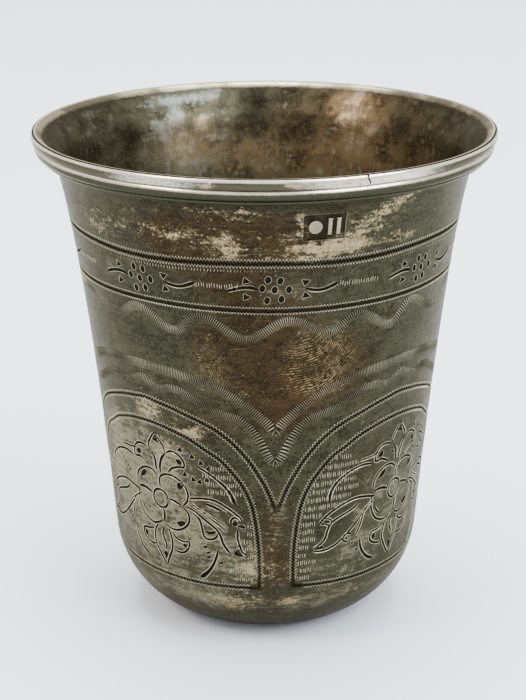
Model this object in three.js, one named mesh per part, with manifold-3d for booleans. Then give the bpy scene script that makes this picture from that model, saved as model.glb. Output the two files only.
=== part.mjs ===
// A small silver kiddush beaker: a raised bell-shaped cup with a rounded bottom and an everted lip, a reeded
// wire soldered round the lip, two engraved bands, and four arched panels that each hold a flower spray.
// Millimetres, +Z up. The origin is the centre of the flat base. Angles are measured from the front (-Y),
// and they grow towards +X.

import * as THREE from 'three';
import { mergeVertices } from 'three/addons/utils/BufferGeometryUtils.js';
import Module from 'manifold-3d';

// ---------------------------------------------------------------- driving dimensions

const HEIGHT = 68.0;             // base to lip
const RIM_RADIUS = 31.0;         // the widest circle, on the upper bead of the wire
const WALL = 0.7;                // thickness of the raised sheet
const FLOOR = 0.8;               // thickness of the flat base
const SEGMENTS = 36;             // sides of every turned surface

const CORNER_RADIUS = 12.9;      // rounded lower edge, an arc round this centre
const CORNER_CENTRE_R = 8.4;
const CORNER_CENTRE_Z = 12.3;

const CONE_R = 20.31;            // wall radius = CONE_R + TAPER z + FLARE exp((z - FLARE_Z) / FLARE_RISE)
const TAPER = 0.078;
const FLARE = 2.58;
const FLARE_Z = 64;
const FLARE_RISE = 16.5;

const UPPER_BAND_Z = 56.2;       // the two engraved rings round the wall
const LOWER_BAND_Z = 50.1;
const BAND_WIDTH = 0.9;
const BROAD_DEPTH = 0.28;        // depth of a broad cut, and of a fine one
const FINE_DEPTH = 0.18;

const PANELS = 4;
const GAP_ANGLE = rad(3.6);      // centre of the gap between two panels
const PANEL_HALF = rad(39);      // half the width of a panel
const PANEL_BASE_Z = 10.1;
const FLOWER_SHIFT = rad(2.4);   // the sprays stand a little off the middle of their panels

const MARK_ANGLE = rad(15.5);    // a punched cartouche with a generic device
const MARK_Z = 61.0;
const MARK_WIDTH = 5.4;
const MARK_HEIGHT = 3.4;
const MARK_DEPTH = 0.22;

const JOINT_ANGLE = rad(23.8);   // butt joint of the rim wire
const JOINT_WIDTH = 0.25;

const SILVER = { color: 0x7d7663, roughness: 0.42, metalness: 0.85 };
const BRIGHT_SILVER = { color: 0xb9b4a6, roughness: 0.28, metalness: 0.95 };

// ---------------------------------------------------------------- the wall as a surface

function rad(degrees) {
  return THREE.MathUtils.degToRad(degrees);
}

function coneRadius(z) {
  return CONE_R + TAPER * z + FLARE * Math.exp((z - FLARE_Z) / FLARE_RISE);
}

function coneSlope(z) {
  return TAPER + (FLARE / FLARE_RISE) * Math.exp((z - FLARE_Z) / FLARE_RISE);
}

// The corner arc runs from the flat base to the height where its slope is the wall's.
const CORNER_END = -Math.atan(coneSlope(CORNER_CENTRE_Z));
const CORNER_TOP_Z = CORNER_CENTRE_Z + CORNER_RADIUS * Math.sin(CORNER_END);

function cornerRadius(z, radius) {
  return CORNER_CENTRE_R + Math.sqrt(radius ** 2 - (CORNER_CENTRE_Z - z) ** 2);
}

function wallRadius(z) {
  return z < CORNER_TOP_Z ? cornerRadius(z, CORNER_RADIUS) : coneRadius(z);
}

function wallSlope(z) {
  const step = 0.05;
  return (wallRadius(z + step) - wallRadius(z - step)) / (2 * step);
}

// The point at an angle and a height, lifted off the wall along its outward normal.
function wallPoint(angle, z, lift) {
  const slope = wallSlope(z);
  const length = Math.hypot(1, slope);
  const r = wallRadius(z) + lift / length;
  return [r * Math.sin(angle), -r * Math.cos(angle), z - (lift * slope) / length];
}

// ---------------------------------------------------------------- solids and meshes

const wasm = await Module();
wasm.setup();

function solidOf(geometry) {
  geometry.deleteAttribute('normal');
  geometry.deleteAttribute('uv');
  const merged = mergeVertices(geometry, 1e-4);
  const index = merged.index.array;
  const triVerts = [];
  for (let i = 0; i < index.length; i += 3) {
    const [a, b, c] = [index[i], index[i + 1], index[i + 2]];
    if (a !== b && b !== c && c !== a) triVerts.push(a, b, c);
  }
  const vertProperties = new Float32Array(merged.attributes.position.array);
  return new wasm.Manifold(new wasm.Mesh({ numProp: 3, vertProperties, triVerts: new Uint32Array(triVerts) }));
}

function meshOf(name, solid, finish) {
  const { vertProperties, triVerts } = solid.getMesh();
  const geometry = new THREE.BufferGeometry();
  geometry.setAttribute('position', new THREE.BufferAttribute(vertProperties, 3));
  geometry.setIndex(new THREE.BufferAttribute(triVerts, 1));
  geometry.computeVertexNormals();
  const mesh = new THREE.Mesh(geometry, new THREE.MeshStandardMaterial(finish));
  mesh.name = name;
  return mesh;
}

// A profile of [radius, height] points turned about +Z. It starts and ends on the axis, or closes on itself.
function turned(profile) {
  const points = profile.map(([r, z]) => new THREE.Vector2(r, z));
  const geometry = new THREE.LatheGeometry(points, SEGMENTS);
  geometry.rotateX(Math.PI / 2);
  return solidOf(geometry);
}

// A closed skin over equal rings of points: flat fans close its two ends, unless the rings run round a loop.
function skin(rings, loop) {
  const count = rings[0].length;
  const spans = loop ? rings.length : rings.length - 1;
  const index = [];
  for (let i = 0; i < spans; i += 1) {
    const near = i * count;
    const far = ((i + 1) % rings.length) * count;
    for (let j = 0; j < count; j += 1) {
      const k = (j + 1) % count;
      index.push(near + j, far + k, near + k);
      index.push(near + j, far + j, far + k);
    }
  }
  if (!loop) {
    const end = spans * count;
    for (let j = 1; j < count - 1; j += 1) {
      index.push(0, j, j + 1);
      index.push(end, end + j + 1, end + j);
    }
  }
  const geometry = new THREE.BufferGeometry();
  geometry.setAttribute('position', new THREE.Float32BufferAttribute(rings.flat(2), 3));
  geometry.setIndex(index);
  return solidOf(geometry);
}

// ---------------------------------------------------------------- cuts that follow the wall

// Flat points: x is the distance along the wall from an axis angle, y is the height above the base.
function flat(points) {
  return points.map(([x, y]) => new THREE.Vector2(x, y));
}

// The tool for a V groove along a flat line. Its section is a V whose tip lies under the surface, with a
// tall cap over it that stands clear of the wall where a step of the line spans the curve.
function groove(line, axis, width, depth, loop = false) {
  const brim = 0.05;
  const cap = 0.9;
  const half = (width / 2) * (1 + brim / depth);
  const last = line.length - 1;
  const rings = line.map((point, i) => {
    const before = i > 0 ? line[i - 1] : line[loop ? last : 0];
    const after = i < last ? line[i + 1] : line[loop ? 0 : last];
    const along = new THREE.Vector2().subVectors(after, before).normalize();
    const corner = (side, lift) => {
      const y = point.y + side * along.x * half;
      const angle = axis + (point.x - side * along.y * half) / wallRadius(y);
      return wallPoint(angle, y, lift);
    };
    return [corner(-1, cap), corner(1, cap), corner(1, brim), corner(0, -depth), corner(-1, brim)];
  });
  return skin(rings, loop);
}

// A block whose inner face lies under the wall's surface and whose outer face lies clear of it.
function wallBlock(x, y, width, height, axis, from, to) {
  const ring = (side) => {
    const angle = axis + (x + (side * width) / 2) / wallRadius(y);
    const low = y - height / 2;
    const high = y + height / 2;
    return [wallPoint(angle, low, from), wallPoint(angle, low, to), wallPoint(angle, high, to),
      wallPoint(angle, high, from)];
  };
  return skin([ring(-1), ring(1)], false);
}

// ---------------------------------------------------------------- the panel and its flower

// A line over the whole width of a panel, from a list of [angle from its middle, height].
function wide(points) {
  return flat(points.map(([turn, y]) => [turn * wallRadius(y), y]));
}

const ARCH_FOOT_Z = 21.6;        // neighbouring arches meet in a V at this height
const ARCH_RISE = 14.3;
const ARCH_ROUNDNESS = 2.9;

// The arch round a panel: height = foot + rise (1 - u^roundness), u from 0 at the crown to 1 at the foot.
function arch() {
  const steps = 5;
  const points = [];
  for (let i = -steps; i <= steps; i += 1) {
    const u = Math.sign(i) * Math.abs(i / steps) ** 0.8;
    points.push([u * (Math.PI / PANELS), ARCH_FOOT_Z + ARCH_RISE * (1 - Math.abs(u) ** ARCH_ROUNDNESS)]);
  }
  return wide(points);
}

const SHOULDER_Z = 15.5;         // the panel's sides are straight up to here, under a round head
const CROWN_Z = 32.5;

// The panel's border: up one side, over the head, an oval bulging a little towards a square, and down.
function panelBorder() {
  const steps = 5;
  const points = [];
  for (let i = -steps; i <= steps; i += 1) {
    const a = (Math.PI / 2) * (i / steps);
    points.push([PANEL_HALF * Math.sin(a), SHOULDER_Z + (CROWN_Z - SHOULDER_Z) * Math.cos(a) ** 0.85]);
  }
  return wide([[-PANEL_HALF, PANEL_BASE_Z], ...points, [PANEL_HALF, PANEL_BASE_Z]]);
}

function panelBase() {
  const steps = 6;
  const points = [];
  for (let i = 0; i <= steps; i += 1) points.push([PANEL_HALF * ((2 * i) / steps - 1), PANEL_BASE_Z]);
  return wide(points);
}

const FLOWER_Z = 21.35;
const DISC_RADIUS = 1.3;
const PETAL_NOTCH = 3.3;         // radius of the flower between two petals, and what a petal adds to it
const PETAL_SWELL = 1.5;

// A ring round the flower's centre, its radius a function of the angle.
function ringLine(sides, radiusAt) {
  const points = [];
  for (let i = 0; i < sides; i += 1) {
    const a = (2 * Math.PI * i) / sides;
    points.push([radiusAt(a) * Math.cos(a), FLOWER_Z + radiusAt(a) * Math.sin(a)]);
  }
  return flat(points);
}

function petalRadius(a) {
  return PETAL_NOTCH + PETAL_SWELL * Math.abs(Math.sin(2 * a)) ** 0.6;
}

// Lines of the spray, in [x from its axis, y above the base]. A bud's line runs from its tip down one side
// and round the curled leaf beside it; every line has a twin on the other side of the axis.
const SPRAY = [
  [[0, 31.0], [1.2, 29.3], [1.4, 28.2], [2.9, 28.8], [4.3, 27.6], [3.5, 26.6], [1.5, 25.5]],
  [[0, 11.2], [1.3, 12.9], [1.6, 14.1], [3.0, 13.8], [4.2, 15.2], [3.4, 15.9], [1.4, 16.8]],
  [[4.2, 22.1], [7.2, 22.6], [10.3, 21.3], [12.4, 19.2], [10.8, 18.4], [12.6, 14.7]],
  [[4.3, 20.9], [8.2, 19.2], [12.6, 14.7]],
  [[5.8, 27.4], [9.2, 25.7], [11.0, 22.6]],
];
const SPRAY_WIDTH = 0.4;

function sprayCuts(axis) {
  const cuts = [
    groove(ringLine(8, () => DISC_RADIUS), axis, SPRAY_WIDTH, FINE_DEPTH, true),
    groove(ringLine(12, petalRadius), axis, SPRAY_WIDTH, FINE_DEPTH, true),
  ];
  for (const line of SPRAY) {
    for (const side of [-1, 1]) {
      cuts.push(groove(flat(line.map(([x, y]) => [side * x, y])), axis, SPRAY_WIDTH, FINE_DEPTH));
    }
  }
  return cuts;
}

function panelCuts(axis) {
  return [
    groove(arch(), axis, BAND_WIDTH, BROAD_DEPTH),
    groove(panelBorder(), axis, BAND_WIDTH, BROAD_DEPTH),
    groove(panelBase(), axis, BAND_WIDTH, BROAD_DEPTH),
    ...sprayCuts(axis + FLOWER_SHIFT),
  ];
}

// ---------------------------------------------------------------- the mark

// The figures of the mark, in [x from its middle, width, height]: a boss and two upright bars.
const MARK_FIGURES = [[-1.15, 1.8, 1.8], [0.7, 0.7, 2.4], [1.8, 0.7, 2.4]];

// A sunk oblong with raised figures: a device, not a letter or a number.
function markCut() {
  const sunk = wallBlock(0, MARK_Z, MARK_WIDTH, MARK_HEIGHT, MARK_ANGLE, -MARK_DEPTH, 0.3);
  const figures = MARK_FIGURES.map(([x, width, height]) => (
    wallBlock(x, MARK_Z, width, height, MARK_ANGLE, -2 * MARK_DEPTH, -0.04)));
  return figures.reduce((cut, figure) => cut.subtract(figure), sunk);
}

// ---------------------------------------------------------------- the turned profiles

// The outer face of the lip, under the wire.
const LIP_FACE = [[28.3, 64.3], [29.5, 66.0], [30.35, 67.7]];
const LIP_EDGE = [[30.25, 67.92], [29.95, 67.8]];
const LIP_INSIDE = [[29.4, 67.2], [28.8, 66.2], [27.6, 64.3]];

const WALL_OUTSIDE_Z = [26, 40, LOWER_BAND_Z, UPPER_BAND_Z, 63.3];
const WALL_INSIDE_Z = [62, 50, 36];

function bandRing(z) {
  const half = BAND_WIDTH / 2;
  return [
    [wallRadius(z - half), z - half],
    [wallRadius(z) - BROAD_DEPTH, z],
    [wallRadius(z + half), z + half],
  ];
}

// Points on a corner arc, from the height `low` up to where the arc meets the wall.
function cornerArc(radius, low, steps) {
  const start = Math.asin((low - CORNER_CENTRE_Z) / radius);
  const points = [];
  for (let i = 0; i <= steps; i += 1) {
    const a = start + ((CORNER_END - start) * i) / steps;
    points.push([CORNER_CENTRE_R + radius * Math.cos(a), CORNER_CENTRE_Z + radius * Math.sin(a)]);
  }
  return points;
}

function bodyProfile() {
  const bands = [LOWER_BAND_Z, UPPER_BAND_Z];
  const outside = WALL_OUTSIDE_Z.flatMap((z) => (bands.includes(z) ? bandRing(z) : [[wallRadius(z), z]]));
  const inside = WALL_INSIDE_Z.map((z) => [wallRadius(z) - WALL, z]);
  return [
    [0, 0],
    ...cornerArc(CORNER_RADIUS, 0, 5),
    ...outside,
    ...LIP_FACE,
    ...LIP_EDGE,
    ...LIP_INSIDE,
    ...inside,
    ...cornerArc(CORNER_RADIUS - WALL, FLOOR, 4).reverse(),
    [0, FLOOR],
  ];
}

// An arc of a bead, from one angle to another in degrees.
function bead(r, z, radius, from, to, steps) {
  const points = [];
  for (let i = 0; i <= steps; i += 1) {
    const a = rad(from + ((to - from) * i) / steps);
    points.push([r + radius * Math.cos(a), z + radius * Math.sin(a)]);
  }
  return points;
}

// The upper bead, from the valley under it over its crest to the lip.
const UPPER_BEAD = [[30.4, 66.45], [30.8, 66.68], [30.97, 67.05], [RIM_RADIUS, 67.45], [30.9, 67.8],
  [30.6, HEIGHT], [30.35, 67.95]];

// From the foot: a thin reed, the lower bead, the upper bead, and the seat on the lip's outer face.
function wireProfile() {
  return [
    LIP_FACE[0],
    [28.95, 64.45],
    ...bead(29.58, 64.92, 0.34, -75, 15, 2),
    [29.85, 65.15],
    ...bead(29.76, 65.86, 0.85, -50, 35, 3),
    ...UPPER_BEAD,
    ...[...LIP_FACE].reverse(),
  ];
}

// The slit of the butt joint, through the upper bead alone.
function jointSlit() {
  const [low, high] = [66.7, 68.5];
  const [inner, outer] = [30.5, 31.4];
  const ring = (side) => {
    const turn = JOINT_ANGLE + (side * JOINT_WIDTH) / 2 / RIM_RADIUS;
    const at = (r, z) => [r * Math.sin(turn), -r * Math.cos(turn), z];
    return [at(inner, low), at(outer, low), at(outer, high), at(inner, high)];
  };
  return skin([ring(-1), ring(1)], false);
}

// ---------------------------------------------------------------- the cup

function beakerBody() {
  const cuts = [markCut()];
  for (let i = 0; i < PANELS; i += 1) {
    const turn = (2 * Math.PI * i) / PANELS;
    cuts.push(...panelCuts(GAP_ANGLE + Math.PI / PANELS + turn));
  }
  return cuts.reduce((solid, cut) => solid.subtract(cut), turned(bodyProfile()));
}

function rimWire() {
  return turned(wireProfile()).subtract(jointSlit());
}

const cup = new THREE.Group();
cup.add(meshOf('beaker_body', beakerBody(), SILVER));
cup.add(meshOf('rim_wire', rimWire(), BRIGHT_SILVER));

export default cup;
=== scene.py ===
"""Looks of a small engraved silver kiddush beaker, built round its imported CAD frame.

The cup is dressed with two pieces. The engraved body is one closed skin. Its outside is a sheet of triangles
laid out flat, in which every cut of the graver is an edge line with its own depth, and which is then wrapped
on the wall. Its lip, inside and base are turned surfaces that join that sheet. The rim wire is a profile of
two beads carried round the lip. Lengths in the classes are millimetres, angles round the cup are degrees that
grow from the front towards +X, and meshes are made in metres.
"""

import logging
import math
from collections.abc import Sequence
from dataclasses import dataclass, field
from enum import Enum

import bmesh
import bpy
import numpy as np
from mathutils import Matrix, Vector
from mathutils.geometry import delaunay_2d_cdt
from mathutils.kdtree import KDTree


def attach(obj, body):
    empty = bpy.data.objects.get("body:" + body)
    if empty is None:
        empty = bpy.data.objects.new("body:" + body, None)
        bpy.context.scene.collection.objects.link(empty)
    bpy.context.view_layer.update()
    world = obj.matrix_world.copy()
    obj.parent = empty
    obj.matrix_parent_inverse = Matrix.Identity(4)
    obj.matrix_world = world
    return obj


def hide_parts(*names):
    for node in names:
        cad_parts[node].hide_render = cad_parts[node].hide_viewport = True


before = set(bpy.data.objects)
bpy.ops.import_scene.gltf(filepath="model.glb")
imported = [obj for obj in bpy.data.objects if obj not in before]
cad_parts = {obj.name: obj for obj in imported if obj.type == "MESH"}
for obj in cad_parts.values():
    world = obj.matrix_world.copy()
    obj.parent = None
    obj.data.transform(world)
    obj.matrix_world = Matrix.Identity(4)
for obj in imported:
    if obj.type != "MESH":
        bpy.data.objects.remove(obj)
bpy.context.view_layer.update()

log = logging.getLogger("kiddush_cup")

MM = 0.001
TURN = 2 * math.pi
PLANE = 0.39                           # mm on the unrolled plane for each degree
PLANE_RADIUS = PLANE * 180 / math.pi   # mm, where the plane keeps its width
WALL_RADIUS = 25.0                     # mm, a middle radius of the wall, for patterns laid on it
RIM_DEGREE = 0.54                      # mm round the rim for each degree
SEAM = -176.4                          # degrees, where the skins begin and end
MERGE = 0.002                          # mm, points closer than this are welded
RAISED = -0.15                         # how high a cut's edges stand, as a share of its depth
Array = np.ndarray
Point = tuple[float, float]
Place = tuple[float, float, float]
Colour = tuple[float, float, float]


def column(*values: float) -> Array:
    """Numbers one below another, one for each row of a cut."""
    return np.array(values, float)[:, None]


def travelled(line: Array) -> Array:
    """Distance along a line at each of its points."""
    return np.concatenate([[0], np.cumsum(np.hypot(*np.diff(line, axis=0).T))])


def put(name: str, data: bpy.types.ID) -> bpy.types.Object:
    """Links a new object that holds a mesh, a lamp or a camera to the scene, and returns it."""
    made = bpy.data.objects.new(name, data)
    bpy.context.scene.collection.objects.link(made)
    return made


# ---------------------------------------------------------------------- shader building


class Value:
    """A number carried by a shader socket, with arithmetic that adds Math nodes."""

    def __init__(self, graph: "Graph", socket: bpy.types.NodeSocket) -> None:
        """Keeps the graph and the socket that the number comes from."""
        self.graph = graph
        self.socket = socket

    def _math(self, operation: str, *terms: "Value | float") -> "Value":
        """Adds one Math node and returns its result."""
        made = self.graph.node("ShaderNodeMath", {"operation": operation}, dict(enumerate(terms)))
        return Value(self.graph, made.outputs[0])

    def __add__(self, other: "Value | float") -> "Value":
        """Sum."""
        return self._math("ADD", self, other)

    __radd__ = __add__

    def __mul__(self, other: "Value | float") -> "Value":
        """Product."""
        return self._math("MULTIPLY", self, other)

    __rmul__ = __mul__

    def __sub__(self, other: "Value | float") -> "Value":
        """Difference."""
        return self._math("SUBTRACT", self, other)

    def __rsub__(self, other: "Value | float") -> "Value":
        """Difference from a number."""
        return self._math("SUBTRACT", other, self)

    def power(self, exponent: float) -> "Value":
        """This number to a power."""
        return self._math("POWER", self, exponent)

    def most(self, other: "Value | float") -> "Value":
        """The larger of two numbers."""
        return self._math("MAXIMUM", self, other)

    def swing(self, weight: float = 1.0) -> "Value":
        """A number from 0 to 1 made to swing about 0, times a weight."""
        return (self - 0.5) * weight

    def sine(self) -> "Value":
        """Its sine."""
        return self._math("SINE", self)

    def bearing(self, ahead: "Value | float") -> "Value":
        """The angle of the point (ahead, self), radians."""
        return self._math("ARCTAN2", self, ahead)

    def step(self, low: float, high: float) -> "Value":
        """A smooth step from 0 at `low` to 1 at `high`."""
        settings = {"interpolation_type": "SMOOTHSTEP"}
        made = self.graph.node("ShaderNodeMapRange", settings, {0: self, 1: low, 2: high})
        return Value(self.graph, made.outputs[0])


class Graph:
    """A material's node tree, with one method that adds any node."""

    def __init__(self, name: str) -> None:
        """Starts a material with a Principled shader and nothing else."""
        self.material = bpy.data.materials.new(name)
        self.material.use_nodes = True
        self.tree = self.material.node_tree
        self.shader = next(n for n in self.tree.nodes if n.type == "BSDF_PRINCIPLED")

    def node(self, kind: str, settings: dict | None = None, sockets: dict | None = None) -> bpy.types.Node:
        """Adds a node.

        Args:
            kind: The node's type, such as ShaderNodeMath.
            settings: Properties set before its sockets.
            sockets: Value, socket or plain number for each input, by name or place.

        Returns:
            The new node.
        """
        made = self.tree.nodes.new(kind)
        for name, value in (settings or {}).items():
            setattr(made, name, value)
        for key, value in (sockets or {}).items():
            self.feed(made.inputs[key], value)
        return made

    def feed(self, socket: bpy.types.NodeSocket, value: object) -> None:
        """Links a Value or a socket to an input, or sets the input's own number or colour."""
        if isinstance(value, Value):
            self.tree.links.new(value.socket, socket)
        elif isinstance(value, bpy.types.NodeSocket):
            self.tree.links.new(value, socket)
        elif isinstance(value, tuple) and len(value) == 3 and socket.type == "RGBA":
            socket.default_value = (*value, 1.0)
        else:
            socket.default_value = value

    def attribute(self, name: str) -> Value:
        """A number stored on the mesh."""
        return Value(self, self.node("ShaderNodeAttribute", {"attribute_name": name}).outputs["Fac"])

    def place(self, stretch: Place = (1.0, 1.0, 1.0)) -> bpy.types.NodeSocket:
        """The piece's own coordinates, with a factor on each axis."""
        source = self.node("ShaderNodeTexCoord").outputs["Object"]
        made = self.node("ShaderNodeVectorMath", {"operation": "MULTIPLY"}, {0: source, 1: stretch})
        return made.outputs["Vector"]

    def unrolled(self) -> tuple[Value, Value]:
        """Place on the unrolled wall, mm: the arc from the front, and the height."""
        source = self.node("ShaderNodeTexCoord").outputs["Object"]
        parts = self.node("ShaderNodeSeparateXYZ", {}, {0: source}).outputs
        x, y, z = (Value(self, part) for part in parts)
        return x.bearing(0.0 - y) * WALL_RADIUS, z * (1 / MM)

    def scratches(self, across: Value, up: Value, tilt: float, width: float, length: float,
                  rarity: float) -> Value:
        """Thin straight marks on the unrolled wall.

        Args:
            across: Arc from the front, mm.
            up: Height, mm.
            tilt: Angle of the marks from upright, radians.
            width: Their width, mm.
            length: Their length, mm.
            rarity: From 0.5 for many to 0.8 for few.

        Returns:
            1 on a scratch.
        """
        sheet = self.node("ShaderNodeCombineXYZ", {}, {0: across, 1: up}).outputs[0]
        made = self.node("ShaderNodeMapping", {}, {"Vector": sheet, "Rotation": (0.0, 0.0, tilt)})
        turned = self.node("ShaderNodeVectorMath", {"operation": "MULTIPLY"},
                           {0: made.outputs["Vector"], 1: (1 / width, 1 / length, 1.0)})
        sockets = {"Vector": turned.outputs["Vector"], "Scale": 1.0, "Detail": 1.0}
        noise = self.node("ShaderNodeTexNoise", {}, sockets)
        return Value(self, noise.outputs["Fac"]).step(rarity, rarity + 0.05)

    def noise(self, place: bpy.types.NodeSocket, size: float, detail: float,
              roughness: float = 0.55) -> Value:
        """Cloudy noise from 0 to 1, with features about `size` millimetres across."""
        sockets = {"Vector": place, "Scale": 1.0 / (size * MM), "Detail": detail, "Roughness": roughness}
        return Value(self, self.node("ShaderNodeTexNoise", {}, sockets).outputs["Fac"])

    def blend(self, factor: Value, under: object, over: object) -> bpy.types.NodeSocket:
        """A colour between two, `over` where the factor is 1."""
        made = self.node("ShaderNodeMix", {"data_type": "RGBA"})
        self.feed(made.inputs[0], factor)
        self.feed(made.inputs[6], under)
        self.feed(made.inputs[7], over)
        return made.outputs[2]

    def layers(self, colour: object, *rows: tuple[Value, object]) -> bpy.types.NodeSocket:
        """A colour with others laid over it in turn, each by its own factor."""
        for factor, over in rows:
            colour = self.blend(factor, colour, over)
        return colour

    def bump(self, height: Value, strength: float, distance: float) -> bpy.types.NodeSocket:
        """A normal tilted by a height, which is in units of `distance` millimetres."""
        sockets = {"Height": height, "Strength": strength, "Distance": distance * MM}
        return self.node("ShaderNodeBump", {}, sockets).outputs["Normal"]

    def finish(self, **sockets: object) -> bpy.types.Material:
        """Feeds the shader's sockets, given by name with _ for a space, and returns the material."""
        for name, value in sockets.items():
            self.feed(self.shader.inputs[name.replace("_", " ")], value)
        return self.material


# ---------------------------------------------------------------------- form of the beaker


class Mark(Enum):
    """Numbers that a skin stores at its points for its finish."""

    CUT = "cut"        # 1 in the bottom of a cut
    # On the rim wire the burr mark holds the section's shine: painted highlight along the bead tops, with
    # rubbed silver.
    BURR_AND_HIGHLIGHT = "burr"      # 1 on the bright edge that the graver threw up
    # On the rim wire the worn mark holds the rubbed patches, whose front ones are painted highlight.
    WORN_AND_HIGHLIT = "worn"      # 1 where polishing has bared the silver
    WARM = "warm"      # 1 where the tarnish is brown, 0 where it is grey-green
    # In the bowl the pale mark carries painted sheen above 0 and painted dark reflection below 0; on the wall
    # one patch below 0 is a painted dark reflection.
    PALE = "pale"      # 1 where the tarnish is thin, -1 where it is thickest
    INSIDE = "inside"  # 1 on the inside of the bowl
    LIP = "lip"        # 1 on the rubbed lip


MARKS = tuple(mark.value for mark in Mark)


@dataclass(frozen=True)
class BeakerForm:
    """Turned form of the beaker in millimetres, with heights from its flat base.

    The wall's radius is a cone plus a flare: cone_radius + taper z + flare exp((z - flare_height) /
    flare_rise). Below `corner_top` it is the arc of the rounded corner.
    """

    cone_radius: float = 20.31
    taper: float = 0.078
    flare: float = 2.58
    flare_height: float = 64.0
    flare_rise: float = 16.5
    corner_radius: float = 12.9
    corner_centre_r: float = 8.4
    corner_centre_z: float = 12.3
    corner_top: float = 11.3
    wall: float = 0.7
    floor: float = 0.8
    wobble: float = 0.035

    def radius(self, z: Array) -> Array:
        """Outside radius at heights `z`."""
        z = np.asarray(z, float)
        flared = self.flare * np.exp((z - self.flare_height) / self.flare_rise)
        cone = self.cone_radius + self.taper * z + flared
        below = np.minimum(z, self.corner_centre_z) - self.corner_centre_z
        arc = self.corner_centre_r + np.sqrt(np.maximum(self.corner_radius ** 2 - below ** 2, 0))
        share = np.clip((z - self.corner_top + 1) / 2, 0, 1)
        return arc + (cone - arc) * share

    def dents(self, angle: Array, z: Array) -> Array:
        """Small unevenness of the hand-raised wall: three slow waves round it that turn with height."""
        turn = np.radians(angle)
        waves = (np.sin(3 * turn + z / 9) + 0.7 * np.sin(5 * turn - z / 6 + 1)
                 + 0.5 * np.sin(11 * turn + z / 4))
        return self.wobble * waves * np.clip(z / 20, 0, 1)

    def place(self, angle: Array, radius: Array, z: Array) -> Array:
        """Points in millimetres from an angle in degrees, a radius and a height."""
        turn = np.radians(angle)
        return np.column_stack([radius * np.sin(turn), -radius * np.cos(turn), z])


@dataclass(frozen=True)
class Patch:
    """A soft-edged area of the wall: a bell over angle (degrees) and height (mm).

    Its middle line climbs by `lean` millimetres for each degree.
    """

    angle: float
    z: float
    spread: float
    rise: float
    strength: float = 1.0
    lean: float = 0.0

    def at(self, angle: Array, z: Array) -> Array:
        """Strength at points, as exp(-(da / spread)^2 - (dz / rise)^2) with the angle taken round the cup."""
        turn = (np.asarray(angle) - self.angle + 180) % 360 - 180
        return self.strength * np.exp(-(turn / self.spread) ** 2
                                      - ((z - self.z - self.lean * turn) / self.rise) ** 2)


def patches(*rows: tuple[float, ...]) -> tuple[Patch, ...]:
    """Patches from rows of their numbers."""
    return tuple(Patch(*row) for row in rows)


def covering(areas: tuple[Patch, ...], angle: Array, z: Array) -> Array:
    """Sum of patches at points, from -1 to 1; a patch of negative strength takes away."""
    return np.clip(sum(patch.at(angle, z) for patch in areas), -1, 1)


@dataclass
class Skin:
    """Patches of surface that are later welded to one mesh."""

    places: list[Array] = field(default_factory=list)
    sheets: list[Array] = field(default_factory=list)
    marks: list[Array] = field(default_factory=list)
    faces: list[Array] = field(default_factory=list)
    count: int = 0

    def add(self, places: Array, sheet: Array, marks: dict[Mark, Array], faces: Array) -> None:
        """Adds a patch.

        Args:
            places: Points, mm, as rows of x, y and z.
            sheet: The same points on the unrolled skin, from 0 to 1 each way.
            marks: Marks of the points that aren't 0.
            faces: Rows of three points each, counted within the patch.
        """
        table = np.zeros((len(places), len(MARKS)))
        for mark, values in marks.items():
            table[:, MARKS.index(mark.value)] = values
        self.places.append(places)
        self.sheets.append(sheet)
        self.marks.append(table)
        self.faces.append(np.asarray(faces) + self.count)
        self.count += len(places)

    def weld(self, name: str, crease: float) -> bpy.types.Object:
        """Welds the patches to one piece.

        Args:
            name: Name of the piece.
            crease: Angle in degrees above which an edge is drawn sharp.

        Returns:
            The piece, linked to the scene.
        """
        places = np.vstack(self.places) * MM
        sheet = np.vstack(self.sheets)
        marks = np.vstack(self.marks)
        faces = np.vstack(self.faces)
        mesh = bpy.data.meshes.new(name)
        mesh.from_pydata(places, [], faces)
        layer = mesh.uv_layers.new(name="OFBake")
        layer.data.foreach_set("uv", sheet[faces.ravel()].astype(np.float32).ravel())
        for column, mark in enumerate(MARKS):
            values = mesh.attributes.new(mark, "FLOAT", "POINT")
            values.data.foreach_set("value", marks[:, column].astype(np.float32))
        work = bmesh.new()
        work.from_mesh(mesh)
        bmesh.ops.remove_doubles(work, verts=work.verts, dist=MERGE * MM)
        work.to_mesh(mesh)
        work.free()
        mesh.shade_smooth()
        mesh.set_sharp_from_angle(angle=math.radians(crease))
        piece = put(name, mesh)
        log.info("%s: %d points, %d faces", name, len(mesh.vertices), len(mesh.polygons))
        return piece


def grid_faces(rings: int, columns: int) -> Array:
    """Triangles of a grid of points, ring by ring, that face to the right of the way the rings go."""
    corner = (np.arange(rings - 1)[:, None] * columns + np.arange(columns - 1)).ravel()
    along = corner + 1
    over = corner + columns
    return np.vstack([np.column_stack([corner, along, over + 1]), np.column_stack([corner, over + 1, over])])


# ---------------------------------------------------------------------- the graver's cuts


REACH = 188.0         # degrees each way from the front, for a line that runs on past a whole turn


def smooth(points: Array, step: float, loop: bool = False) -> Array:
    """A curve through a few points, at even steps.

    Each span is a cubic whose tangents are half the chord between the neighbours (a Catmull-Rom spline).

    Args:
        points: Rows of x and z, mm.
        step: Distance between points of the result, mm.
        loop: Whether the curve closes on itself.
    """
    points = np.asarray(points, float)
    if loop:
        ringed = np.vstack([points[-1], points, points[:2]])
    else:
        ringed = np.vstack([2 * points[0] - points[1], points, 2 * points[-1] - points[-2]])
    before, start, end, after = ringed[:-3], ringed[1:-2], ringed[2:-1], ringed[3:]
    t = np.linspace(0, 1, 12, endpoint=False)[None, :, None]
    fine = 0.5 * (2 * start[:, None] + (end - before)[:, None] * t
                  + (2 * before - 5 * start + 4 * end - after)[:, None] * t ** 2
                  + (3 * start - before - 3 * end + after)[:, None] * t ** 3)
    fine = np.vstack([fine.reshape(-1, 2), end[-1:]])
    return spaced(fine, step)


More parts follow.
